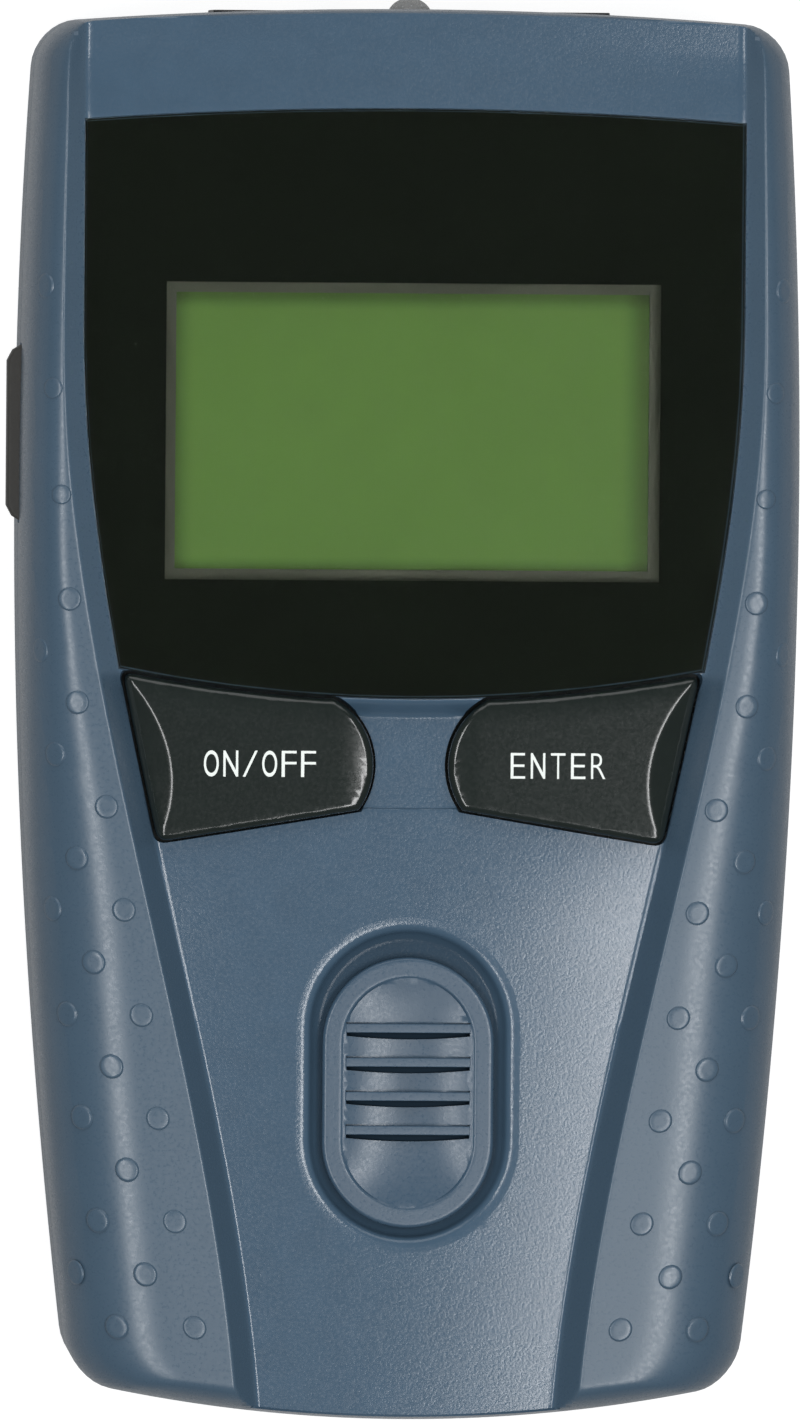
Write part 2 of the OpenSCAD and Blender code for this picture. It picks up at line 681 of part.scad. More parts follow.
// Keys, with what each presses on
key_mid_x = 15.5;
key_mid_y = -5.5;
key_flange_z = shelf_z - 0.3 - key_flange_t;
key_stem_h = 1.2;
dome_top_z = key_flange_z - key_stem_h;
dome_wall = 0.8;
mat_t = 0.6;
mat_w = 56;
mat_l = 16;
key_facet_x = 24.4;
key_facet_turn = -14;
key_facet_tilt = 20;
key_flange_w = 0.9;
key_stem_d = 7;
dome_top_r = 4;
pill_d = 4;
pill_gap = 0.1;
module right_key() {
    difference() {
        translate([0, 0, key_flange_z + key_flange_t])
            linear_extrude(key_bed_z + key_h - key_flange_z - key_flange_t) polygon(key_outline(0));
        translate([key_facet_x, key_low(key_facet_x, 0), key_bed_z + key_h])
            rotate([0, 0, key_facet_turn]) rotate([0, key_facet_tilt, 0]) translate([0, -5, 0])
            cube([20, 30, 10]);
    }
    translate([0, 0, key_flange_z]) linear_extrude(key_flange_t) polygon(key_outline(key_flange_w));
    translate([key_mid_x, key_mid_y, dome_top_z]) cylinder(d = key_stem_d, h = key_flange_z - dome_top_z);
}
module on_off_key() color("dimgray") mirror([1, 0, 0]) right_key();
module enter_key() color("dimgray") right_key();

module right_dome() translate([key_mid_x, key_mid_y, 0]) rotate_extrude()
    polygon([[dome_d/2 - dome_wall, board_top], [dome_d/2, board_top], [dome_d/2, board_top + mat_t],
        [dome_top_r, dome_top_z], [0, dome_top_z], [0, dome_top_z - dome_wall],
        [dome_top_r - dome_wall, dome_top_z - dome_wall],
        [dome_d/2 - dome_wall, board_top + mat_t]]);
module on_off_dome() color("gainsboro") mirror([1, 0, 0]) right_dome();
module enter_dome() color("gainsboro") right_dome();
module right_pill() translate([key_mid_x, key_mid_y, board_top + key_travel + pill_gap])
    cylinder(d = pill_d, h = dome_top_z - dome_wall - board_top - key_travel - pill_gap);
module on_off_pill() color("black") mirror([1, 0, 0]) right_pill();
module enter_pill() color("black") right_pill();
module key_mat() color("gainsboro") translate([0, 0, board_top]) linear_extrude(mat_t) difference() {
    translate([0, key_mid_y]) square([mat_w, mat_l], center = true);
    both_sides() translate([key_mid_x, key_mid_y]) circle(d = dome_d + slide_gap);
}

// Ribbed thumb slider: pad, stem through the cover, feet below it
module thumb_slider() color("slategray") translate([0, -slider_y, 0]) difference() {
    union() {
        difference() {
            translate([0, 0, pad_z]) linear_extrude(pad_top_z - pad_z) pill(slider_w, slider_l);
            intersection() {
                translate([0, 0, pad_z]) linear_extrude(far)
                    pill(slider_w - 2*pad_rim, slider_l - 2*pad_rim);
                translate([0, 0, pad_top_z - dish_depth + dish_r]) rotate([0, 90, 0])
                    cylinder(r = dish_r, h = slider_w, center = true, $fn = 180);
            }
        }
        for (i = [0:rib_count - 1]) translate([0, rib_shift + (i - (rib_count - 1)/2)*rib_pitch, 0])
            block([-rib_l/2, rib_l/2], [-rib_w/2, rib_w/2], [pad_top_z - dish_depth - 0.3, pad_top_z]);
        block([-stem_w/2, stem_w/2], [-stem_l/2, stem_l/2], [stem_z, pad_z]);
        block([-stem_w/2 - foot_out, stem_w/2 + foot_out], [-stem_l/2, stem_l/2], [stem_z, stem_z + foot_t]);
    }
    block([-knob_w/2 - knob_gap, knob_w/2 + knob_gap], [-knob_w/2 - knob_gap, knob_w/2 + knob_gap],
        [stem_z - 1, stem_z + knob_h]);
}
switch_top = stem_z - slide_gap;
switch_w = 3.6;
switch_l = 8.6;
module slide_switch() color("silver") translate([0, -slider_y, board_top]) difference() {
    translate([0, slider_travel/2, 0]) linear_extrude(switch_top - board_top)
        square([switch_w, switch_l], center = true);
    block([-knob_w/2 - knob_gap, knob_w/2 + knob_gap],
        [-knob_w/2 - knob_gap, slider_travel + knob_w/2 + knob_gap], [switch_top - board_top - 1, far]);
}
module slide_switch_knob() color("black") block([-knob_w/2, knob_w/2],
    [-slider_y - knob_w/2, knob_w/2 - slider_y], [switch_top - 0.9, stem_z + knob_h - knob_gap]);

// Side key in the left wall, with the push switch behind it
side_key_end = 1.4;
module side_key() color("dimgray") {
    translate([-side_x - side_key_proud, side_key_y, side_key_z]) linear_extrude(side_key_h)
        polygon([[0, side_key_end - side_key_l/2], [side_key_proud + slide_gap, -side_key_l/2],
            [side_x - side_flange_x + side_key_proud, -side_key_l/2],
            [side_x - side_flange_x + side_key_proud, side_key_l/2],
            [side_key_proud + slide_gap, side_key_l/2], [0, side_key_l/2 - side_key_end]]);
    block([-side_flange_x, side_flange_t - side_flange_x],
        [side_key_y - side_key_l/2 - side_flange_grow, side_key_y + side_key_l/2 + side_flange_grow],
        [side_key_z, side_key_z + side_key_h + 1]);
}
push_w = 6;
push_h = 3.9;
push_t = 4;
push_x = case_w/2 - 5;
plunger_d = 2.4;
plunger_in = 1;
push_z = board_z - push_h/2;
module side_switch() color("black") difference() {
    block([-push_x, push_t - push_x], [side_key_y - push_w/2, side_key_y + push_w/2],
        [board_z - push_h, board_z]);
    translate([-push_x - 1, side_key_y, push_z]) rotate([0, 90, 0])
        cylinder(d = plunger_d + slide_gap, h = 1 + plunger_in + side_key_travel + 0.5);
}
module side_switch_plunger() color("ivory") translate([side_flange_t - side_flange_x, side_key_y, push_z])
    rotate([0, 90, 0]) cylinder(d = plunger_d, h = side_flange_x - side_flange_t - push_x + plunger_in);

// Modular ports: opening with a latch slot towards the back
port_w = 11.8;
port_h = 6.7;
port_depth = 13;
latch_w = 6.3;
latch_h = 1.9;
latch_in = 3;
port_z = jack_z + 3.9;
module right_port() difference() {
    block([jack_x - jack_w/2, jack_x + jack_w/2], [jack_back, jack_front], [jack_z, board_z]);
    block([jack_x - port_w/2, jack_x + port_w/2], [jack_front - port_depth, jack_front + 1],
        [port_z, port_z + port_h]);
    block([jack_x - latch_w/2, jack_x + latch_w/2], [jack_front - port_depth + latch_in, jack_front + 1],
        [port_z - latch_h, port_z + 1]);
}
module right_jack() color("dimgray") right_port();
module left_jack() color("dimgray") mirror([1, 0, 0]) right_port();
contact_n = 8;
contact_pitch = 1.02;
contact_drop = 2;
contact_w = 0.4;
contact_t = 0.3;
contact_tilt = 8;
module right_contacts() for (i = [0:contact_n - 1])
    translate([jack_x + (i - (contact_n - 1)/2)*contact_pitch, jack_front - port_depth,
        port_z + port_h - contact_drop]) rotate([contact_tilt, 0, 0])
        translate([-contact_w/2, 0.1, 0]) cube([contact_w, port_depth - 2.5, contact_t]);
module right_jack_contacts() color("gold") right_contacts();
module left_jack_contacts() color("gold") mirror([1, 0, 0]) right_contacts();

lamp_body = 6.1;
lamp_flange = 0.4;
module lamp() color("mistyrose") translate([0, case_l/2 + lamp_proud - lamp_d/2, lamp_z]) rotate([90, 0, 0]) {
    sphere(d = lamp_d);
    cylinder(d = lamp_d, h = lamp_body);
    translate([0, 0, lamp_body - 1]) cylinder(d = lamp_d + 2*lamp_flange, h = 1);
}
lamp_back_y = case_l/2 + lamp_proud - lamp_d/2 - lamp_body;
leg_x = 1.27;
leg_w = 0.5;
leg_l = 3;
module lamp_legs() color("silver") both_sides() translate([leg_x - leg_w/2, lamp_back_y - leg_l, 0]) {
    translate([0, 0, lamp_z - leg_w/2]) cube([leg_w, leg_l, leg_w]);
    translate([0, 0, lamp_z + leg_w/2]) cube([leg_w, leg_w, board_z - lamp_z - leg_w/2]);
}

// Parts on the underside of the main board, placed by the ports behind the port end and by the
// battery leads behind the bay
module hung(x, y, h) translate([x, y, board_z - h]) children();
buzzer_d = 12;
buzzer_h = 8.5;
buzzer_y = 32;
module buzzer() color("black") hung(board_half(buzzer_y) - 15.3, buzzer_y, buzzer_h) difference() {
    cylinder(d = buzzer_d, h = buzzer_h);
    translate([0, 0, -1]) cylinder(d = buzzer_d/6, h = 3);
}
chip_w = 10;
chip_t = 1.4;
chip_up = 0.2;
leg_pitch = 1;
module controller_chip() color("black") hung(-4, 26, chip_t + chip_up) {
    translate([-chip_w/2, -chip_w/2, 0]) cube([chip_w, chip_w, chip_t]);
    for (a = [0:90:270], i = [-4:4]) rotate([0, 0, a]) translate([chip_w/2 - 0.1, (i - 0.18)*leg_pitch, 1.1])
        cube([1.3, 0.36*leg_pitch, chip_t + chip_up - 1.1]);
}
logic_w = 4;
logic_l = 10;
logic_t = 1.5;
logic_pitch = 1.27;
module logic_chips() color("black") for (p = [[-20, 38], [-20, lead_end_y + 10.5], [4, lead_end_y + 12]])
    hung(p[0], p[1], logic_t + chip_up) {
        translate([-logic_w/2, -logic_l/2, 0]) cube([logic_w, logic_l, logic_t]);
        for (s = [-1, 1], i = [-3.5:3.5]) translate([s*(logic_w/2 + 0.4) - 0.5, i*logic_pitch - 0.2, 1.2])
            cube([1, 0.4, logic_t + chip_up - 1.2]);
    }
crystal_size = [4.7, 11, 3.5];
module crystal() color("silver") hung(-18, 24.5, crystal_size[2])
    linear_extrude(crystal_size[2]) pill(crystal_size[0], crystal_size[1]);
capacitor_d = 6.3;
capacitor_h = 11;
module capacitors() color("navy") both_sides() hung(8, jack_back - 9.3, capacitor_h)
    cylinder(d = capacitor_d, h = capacitor_h);
regulator_d = 4.8;
regulator_h = 4.6;
regulator_y = 16;
module regulator() color("black") hung(board_half(regulator_y) - 8.3, regulator_y, regulator_h) difference() {
    cylinder(d = regulator_d, h = regulator_h);
    translate([-regulator_d, regulator_d/4, -1]) cube([2*regulator_d, regulator_d, regulator_h + 2]);
}
trimmer = [6.4, 6.8, 4.6];
module contrast_trimmer() color("royalblue") hung(0, jack_back - 10.3, trimmer[2]) difference() {
    translate([-trimmer[0]/2, -trimmer[1]/2, 0]) cube(trimmer);
    translate([0, 0, -1]) cylinder(d = 3, h = 1.6);
}
resistor = [1.25, 2, 0.6];
resistor_y = lead_end_y + 17.2;
module resistors() color("black") for (i = [0:5], j = [0:1]) hung(8 + 3*i, resistor_y + 4*j, resistor[2])
    translate([-resistor[0]/2, -resistor[1]/2, 0]) cube(resistor);

// Battery and its snap connector
module rounded_cell(w, h, r) {
    square([w - 2*r, h], center = true);
    square([w, h - 2*r], center = true);
    for (sx = [-1, 1], sy = [-1, 1]) translate([sx*(w/2 - r), sy*(h/2 - r)]) circle(r = r);
}
cell_mid_z = cell_z + cell_h/2;
cell_corner = 2;
small_stud_d = 5.7;
large_stud_d = 8.6;
snap_w = 25;
snap_h = 12.5;
module battery() color("darkgoldenrod") translate([0, cell_port_y, cell_mid_z]) rotate([90, 0, 0])
    linear_extrude(cell_l) rounded_cell(cell_w, cell_h, cell_corner);
module battery_studs() color("silver") translate([0, cell_port_y, cell_mid_z]) rotate([-90, 0, 0]) {
    translate([stud_x, 0, 0]) cylinder(d = small_stud_d, h = stud_h);
    translate([-stud_x, 0, 0]) cylinder(d = large_stud_d, h = stud_h);
}
module battery_snap() color("black") translate([0, snap_y, cell_mid_z]) rotate([-90, 0, 0]) difference() {
    linear_extrude(snap_t) rounded_cell(snap_w, snap_h, cell_corner);
    translate([stud_x, 0, -1]) cylinder(d = small_stud_d + 2*slide_gap, h = stud_h + 1);
    translate([-stud_x, 0, -1]) cylinder(d = large_stud_d + 2*slide_gap, h = stud_h + 1);
}
module right_lead() translate([lead_x, snap_y + snap_t, lead_z]) {
    rotate([-90, 0, 0]) cylinder(d = lead_d, h = lead_run);
    translate([0, lead_run, lead_bend]) rotate([90, 0, 90]) rotate([0, 0, -90]) rotate_extrude(angle = 90)
        translate([lead_bend, 0]) circle(d = lead_d);
    translate([0, lead_run + lead_bend, lead_bend]) cylinder(d = lead_d, h = board_z - lead_z - lead_bend);
}
module red_lead() color("red") right_lead();
module black_lead() color("black") mirror([1, 0, 0]) right_lead();
module bay_foam() color("dimgray") block([-cell_w/2, cell_w/2], [bay_tail_y, bay_tail_y + foam_t],
    [cell_z + 1, bay_roof_z - 1]);

// Screws, each head first
board_head_d = 4.2;
board_head_t = 1.4;
display_head_d = 3.2;
display_head_t = 1.1;
module screw(head_d, head_t, d, l) {
    difference() {
        translate([0, 0, -head_t]) cylinder(d = head_d, h = head_t);
        for (a = [0, 90]) rotate([0, 0, a]) translate([-head_d/4, -0.3, -head_t - 1])
            cube([head_d/2, 0.6, 1.8]);
    }
    cylinder(d = d, h = l);
}
module case_screws() color("silver") at_case_posts() translate([0, 0, head_seat_z])
    screw(case_head_d, case_head_t, case_screw_d, seam_z - head_seat_z + case_bite);
module board_screws() color("silver") at_board_posts() translate([0, 0, board_z])
    screw(board_head_d, board_head_t, board_screw_d, board_t + board_bite);
module lcd_screws() color("silver") at_display_posts()
    translate([0, 0, display_board_top - display_board_t])
        screw(display_head_d, display_head_t, display_screw_d, display_board_t + display_bite);

front_cover();
rear_cover();
battery_door();
display_lens();
lens_mask();
lcd_bezel();
lcd_glass();
lcd_backlight();
lcd_contact_strips();
lcd_board();
lcd_header();
main_board();
key_mat();
on_off_dome();
enter_dome();
on_off_pill();
enter_pill();
on_off_key();
enter_key();
thumb_slider();
slide_switch();
slide_switch_knob();
side_key();
side_switch();
side_switch_plunger();
left_jack();
right_jack();
left_jack_contacts();
right_jack_contacts();
lamp();
lamp_legs();
buzzer();
controller_chip();
logic_chips();
crystal();
capacitors();
regulator();
contrast_trimmer();
resistors();
battery();
battery_studs();
battery_snap();
red_lead();
black_lead();
bay_foam();
case_screws();
board_screws();
lcd_screws();
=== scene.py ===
import math
from bisect import bisect_right

import bmesh
import bpy
from mathutils import Matrix, Vector


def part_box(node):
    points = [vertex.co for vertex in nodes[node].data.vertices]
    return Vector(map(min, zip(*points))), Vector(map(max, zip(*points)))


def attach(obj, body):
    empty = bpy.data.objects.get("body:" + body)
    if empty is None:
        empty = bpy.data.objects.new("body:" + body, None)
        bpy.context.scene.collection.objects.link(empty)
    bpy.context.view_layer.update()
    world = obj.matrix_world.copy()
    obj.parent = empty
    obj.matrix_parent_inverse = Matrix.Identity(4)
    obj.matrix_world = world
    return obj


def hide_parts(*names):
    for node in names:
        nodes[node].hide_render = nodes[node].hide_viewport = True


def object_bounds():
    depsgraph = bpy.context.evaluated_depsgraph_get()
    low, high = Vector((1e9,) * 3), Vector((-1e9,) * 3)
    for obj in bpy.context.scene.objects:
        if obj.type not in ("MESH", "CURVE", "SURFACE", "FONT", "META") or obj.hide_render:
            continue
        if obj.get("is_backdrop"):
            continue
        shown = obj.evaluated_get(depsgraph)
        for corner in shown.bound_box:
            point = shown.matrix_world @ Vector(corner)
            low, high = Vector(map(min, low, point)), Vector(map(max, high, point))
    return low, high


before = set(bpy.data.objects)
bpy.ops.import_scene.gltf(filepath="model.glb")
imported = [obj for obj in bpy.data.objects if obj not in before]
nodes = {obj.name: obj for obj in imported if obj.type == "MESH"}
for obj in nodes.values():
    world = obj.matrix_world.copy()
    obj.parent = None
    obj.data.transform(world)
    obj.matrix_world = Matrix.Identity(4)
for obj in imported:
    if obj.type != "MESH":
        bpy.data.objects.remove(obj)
cad_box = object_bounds()
scene = bpy.context.scene
scene.view_settings.view_transform = "Standard"
mm = 0.001

# Camera: high above the tester's face and a little towards its left side and its ports, with a
# long lens, so that the case is seen almost without perspective.
aim = Vector((-1.08, 0.3, 31)) * mm
lean_left, lean_ports, roll = (math.radians(angle) for angle in (2.8, 1.7, 0.45))
camera_distance, sensor_length, view_length = 2.2, 36, 0.1453
camera_data = bpy.data.cameras.new("camera")
camera = bpy.data.objects.new("camera", camera_data)
scene.collection.objects.link(camera)
scene.camera = camera
camera_data.lens = sensor_length * camera_distance / view_length
camera_data.clip_start, camera_data.clip_end = 0.1, 20
towards_camera = Vector((-math.tan(lean_left), math.tan(lean_ports), 1)).normalized()
camera.location = aim + towards_camera * camera_distance
side = Vector((0, 1, 0)).cross(towards_camera).normalized()
up = towards_camera.cross(side)
side, up = side * math.cos(roll) + up * math.sin(roll), up * math.cos(roll) - side * math.sin(roll)
camera.rotation_euler = Matrix((side, up, towards_camera)).transposed().to_euler()

# Table: a plain white sheet under the tester, seen from above only. Its own glow keeps it white,
# and the tester's soft shadow on it stays.


def tune(node, **sockets):
    """Puts values on a node's sockets: From_Min is the socket From Min."""
    for socket, value in sockets.items():
        node.inputs[socket.replace("_", " ")].default_value = value
    return node


def add(tree, kind, operation=None, **sockets):
    """A shader node of that kind, with values on its sockets."""
    node = tree.nodes.new("ShaderNode" + kind)
    if operation:
        node.operation = operation
    return tune(node, **sockets)


def wire(tree, *links):
    """Joins sockets. A link is a node or its name, its output, a node or its name, its input."""
    for source, output, target, socket in links:
        source, target = (tree.nodes[n] if isinstance(n, str) else n for n in (source, target))
        tree.links.new(source.outputs[output], target.inputs[socket])


def placed(bm, name, *materials):
    """Puts a mesh in the scene as an object; the mesh is used up."""
    mesh = bpy.data.meshes.new(name)
    bm.to_mesh(mesh)
    bm.free()
    for material in materials:
        mesh.materials.append(material)
    made = bpy.data.objects.new(name, mesh)
    scene.collection.objects.link(made)
    return made


sheet = bpy.data.materials.new("white_table")
sheet.use_nodes = True
sheet.cycles.emission_sampling = "NONE"
tree = sheet.node_tree
tree.nodes.clear()
matt = add(tree, "BsdfDiffuse", Color=(0.4, 0.4, 0.4, 1))
strength = add(tree, "MapRange", To_Min=0.12, To_Max=0.78)
ray, glow, both, under, which, facing, out = (add(tree, kind) for kind in (
    "LightPath", "Emission", "AddShader", "BsdfTransparent", "MixShader", "NewGeometry",
    "OutputMaterial"))
wire(tree, (ray, "Is Camera Ray", strength, "Value"), (strength, 0, glow, "Strength"),
     (matt, 0, both, 0), (glow, 0, both, 1), (facing, "Backfacing", which, 0),
     (both, 0, which, 1), (under, 0, which, 2), (which, 0, out, "Surface"))
bm = bmesh.new()
bmesh.ops.create_grid(bm, x_segments=1, y_segments=1, size=4)
bmesh.ops.translate(bm, vec=(0, 0, -0.0002), verts=bm.verts)
table = placed(bm, "white_table", sheet)
table.visible_diffuse = False
table.visible_shadow = False
table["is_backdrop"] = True

# Room: even and soft for matt surfaces. Gloss and glass see the white of the table and of the far
# walls, and dimmer walls and ceiling above them; the camera sees plain white.
world = bpy.data.worlds.new("studio")
scene.world = world
world.use_nodes = True
tree = world.node_tree
tree.nodes.clear()
soft = add(tree, "Background", Color=(0.97, 0.985, 1, 1), Strength=0.3)
backdrop = add(tree, "Background", Color=(1, 1, 1, 1))
walls = add(tree, "MapRange", From_Min=0.02, From_Max=0.2, To_Min=0.5, To_Max=0.1)
walls.interpolation_type = "SMOOTHSTEP"
gloss_or_glass = add(tree, "Math", "MAXIMUM")
room, ray, direction, height, with_gloss, with_camera, out = (
    add(tree, kind) for kind in ("Background", "LightPath", "TexCoord", "SeparateXYZ",
                                 "MixShader", "MixShader", "OutputWorld"))
wire(tree, (ray, "Is Glossy Ray", gloss_or_glass, 0),
     (ray, "Is Transmission Ray", gloss_or_glass, 1), (direction, "Generated", height, 0),
     (height, "Z", walls, "Value"), (walls, 0, room, "Color"), (gloss_or_glass, 0, with_gloss, 0),
     (soft, 0, with_gloss, 1), (room, 0, with_gloss, 2), (ray, "Is Camera Ray", with_camera, 0),
     (with_gloss, 0, with_camera, 1), (backdrop, 0, with_camera, 2),
     (with_camera, 0, out, "Surface"))

# Lamps: two long soft boxes high on either side of the camera, which draw a soft light along each
# grip, and a weak one past the ports.
for name, place, size, watts in (
    ("left_box", (-0.21, -0.07, 0.6), (0.42, 0.075), 1.4),
    ("right_box", (0.163, -0.07, 0.6), (0.42, 0.08), 1.64),
    ("port_box", (0.0, 0.6, 0.45), (0.9, 0.4), 1.9),
):
    lamp_data = bpy.data.lights.new(name, "AREA")
    lamp_data.shape = "RECTANGLE"
    lamp_data.size, lamp_data.size_y = size
    lamp_data.energy = watts
    lamp_object = bpy.data.objects.new(name, lamp_data)
    scene.collection.objects.link(lamp_object)
    lamp_object.location = place
    lamp_object.rotation_euler = Vector(place).to_track_quat("Z", "Y").to_euler()
    lamp_object.visible_camera = False


# Front cover: one moulding in blue-grey ABS, with satin grips along both sides and a sunk, grained
# middle that holds the lens, the keys and the thumb slider. Four screws from the back close it
# onto the rear cover. Its shape is worked out in millimetres, as the mould drawing gives it.
case_half, case_end, widest_y = 39.8, 72, 24
port_taper, tail_taper = 1380, 1600
port_end_r, tail_end_r, lens_tail_r = 450, 150, 152
straight_u, straight_v, corner_u, corner_v = 0.8875, 0.9375, 0.1125, 0.0625
shoulder_z, crest_z, plateau_z, face_z, key_bed_z = 25, 34.8, 32.9, 31.4, 31.1
shelf_z, wall, slope_w, fullness = 29.8, 2, 2.2, 0.8


def half_w(y):
    return case_half - (y - widest_y) ** 2 / (port_taper if y > widest_y else tail_taper)


def bow(x, radius):
    return x * x / (2 * radius)


def mix(a, b, t):
    return a + (b - a) * t


def smooth(t):
    t = max(0, min(1, t))
    return t * t * (3 - 2 * t)


def round_w(y):
    return mix(11.2, 5, smooth((y + 30) / 50))


def rounding(a):
    """Run in from the side and rise, as shares, at an angle up the cover's rounded edge."""
    return 1 - max(0, math.cos(a)) ** fullness, max(0, math.sin(a)) ** fullness


def grip_edge(y):
    return 35.8 - 18.9 * smooth((40 - y) / 122)


def slope_foot(y):
    return grip_edge(y) - slope_w


def soft_min(a, b, r):
    h = max(r - abs(a - b), 0) / r
    return min(a, b) - h * h * r / 4


def soft_max(a, b, r):
    return -soft_min(-a, -b, r)


def end_bow(x, port_end):
    """How far an end of the case falls back at x, by its bow."""
    return bow(x, port_end_r if port_end else tail_end_r)


def front_skin(u, v, a, inset):
    """Point of the front's skin: u, v on the unit outline, a the angle up round its edge."""
    s, rise = rounding(a)
    y0 = v * case_end
    x = u * (half_w(y0) - inset - (round_w(y0) - inset) * s)
    fall = end_bow(x, v > 0) + inset + s * (1 if v > 0 else 3)
    return x, y0 - v * fall, shoulder_z + (crest_z - shoulder_z - inset) * rise


def front_uv(x, y, a, inset):
    s = rounding(a)[0]
    v = y / (case_end - (end_bow(x, y > 0) + inset + s * (1 if y > 0 else 3)))
    y0 = v * case_end
    return x / (half_w(y0) - inset - (round_w(y0) - inset) * s), v


def in_outline(u, v):
    u, v = abs(u), abs(v)
    if u > 1 or v > 1:
        return False
    du, dv = (u - straight_u) / corner_u, (v - straight_v) / corner_v
    return du <= 0 or dv <= 0 or du * du + dv * dv <= 1


def skin_height(x, y, inset, to_uv, top):
    """Angle at which the skin passes (x, y): the last ring round it."""
    if in_outline(*to_uv(x, y, top, inset)):
        return top
    low, high = 0, top
    for _ in range(22):
        a = (low + high) / 2
        if in_outline(*to_uv(x, y, a, inset)):
            low = a
        else:
            high = a
    return low


def front_height(x, y, inset=0):
    a = skin_height(x, y, inset, front_uv, math.pi / 2)
    return shoulder_z + (crest_z - shoulder_z - inset) * rounding(a)[1]


def level(x, y):
    """Floor of the sunk middle: plateau, slope under the lens, key bed and face."""
    from_foot = y + 0.05 - bow(x, lens_tail_r)
    t = smooth(from_foot / 1.6 * 0.86 + 0.07)
    crown = bow(x, 300) * smooth(-(y + 6) / 20)
    bed = key_bed_z if y > -9.35 else face_z - crown - 0.3 * smooth((y + 9.5) / 0.15)
    return mix(bed, plateau_z - bow(x, 900) * smooth((y - 61) / 6), t)


def sunk_height(x, y):
    floor = level(x, y)
    rise = (abs(x) - slope_foot(y)) * (crest_z - floor) / slope_w
    return soft_max(floor, floor + rise, 0.5)


def ridge(y):
    """Where the slope beside the sunk middle meets the rounding of the grip."""
    floor = plateau_z if y > 1 else face_z
    low, high = slope_foot(y), grip_edge(y)
    for _ in range(20):
        x = (low + high) / 2
        s = max(0, 1 - (half_w(y) - x) / round_w(y))
        power = 2 / fullness
        edge = shoulder_z + (crest_z - shoulder_z) * max(0, 1 - s ** power) ** (1 / power)
        if floor + (x - slope_foot(y)) * (crest_z - floor) / slope_w < edge:
            low = x
        else:
            high = x
    return low


ridge_at = [ridge(0.5 * k - 80) for k in range(321)]


def ridge_x(y):
    k = max(0, min(319.999, (y + 80) * 2))
    return mix(ridge_at[int(k)], ridge_at[int(k) + 1], k - int(k))


def row_bow(row):
    return mix(1 / 302, -1 / 900, smooth((row - 6) / 52))


def to_plan(col, row):
    """Place of a column and a row: column 20 is the slope's foot and 22 the ridge."""
    y = row
    for _ in range(12):
        foot, top = slope_foot(y), ridge_x(y)
        if col <= 20:
            x = col * foot / 20
        elif col <= 22:
            x = mix(foot, top, (col - 20) / 2)
        else:
            x = top + col - 22
        y = row + x * x * row_bow(row)
    return x, y


def to_grid(x, y):
    foot, top = slope_foot(y), ridge_x(y)
    if x <= foot:
        col = x / foot * 20
    elif x <= top:
        col = 20 + 2 * (x - foot) / (top - foot)
    else:
        col = 22 + x - top
    row = y
    for _ in range(30):
        row = y - x * x * row_bow(row)
    return col, row


def unit_half(ends, corner, sides):
    """Right half of the unit outline, from the middle of the tail end to the port end."""
    quarter = [(k / ends * straight_u, 1) for k in range(ends)]
    quarter += [(straight_u + corner_u * math.sin(t), straight_v + corner_v * math.cos(t))
                for t in (math.pi / 2 * k / corner for k in range(corner + 1))]
    middle = [(1, mix(-straight_v, straight_v, k / sides)) for k in range(1, sides)]
    return [(u, -v) for u, v in quarter] + middle + quarter[::-1]


def cut_through(bm, columns, rows):
    for places, normal in ((columns, (1, 0, 0)), (rows, (0, 1, 0))):
        for p in places:
            bmesh.ops.bisect_plane(bm, geom=bm.verts[:] + bm.edges[:] + bm.faces[:], dist=1e-4,
                                   plane_co=Vector(normal) * p, plane_no=normal)


def cut_sheet(points, columns, rows):
    """A flat sheet with that edge, cut through along every column and row."""
    bm = bmesh.new()
    bm.faces.new([bm.verts.new((x, y, 0)) for x, y in points])
    cut_through(bm, columns, rows)
    return bm


def both_halves(bm):
    bmesh.ops.mirror(bm, geom=bm.verts[:] + bm.edges[:] + bm.faces[:], axis="X", merge_dist=1e-3)
    bmesh.ops.remove_doubles(bm, verts=bm.verts, dist=1e-3)
    bmesh.ops.recalc_face_normals(bm, faces=bm.faces)


def next_ring(bm, loop):
    """Extrudes a loop of edges; gives the new edges and (old, new) pairs of vertices."""
    made = bmesh.ops.extrude_edge_only(bm, edges=loop)["geom"]
    fresh = {g for g in made if isinstance(g, bmesh.types.BMVert)}
    loop = [g for g in made if isinstance(g, bmesh.types.BMEdge) and set(g.verts) <= fresh]
    pairs = [(e.other_vert(v), v) for v in fresh for e in v.link_edges
             if e.other_vert(v) not in fresh]
    return loop, pairs


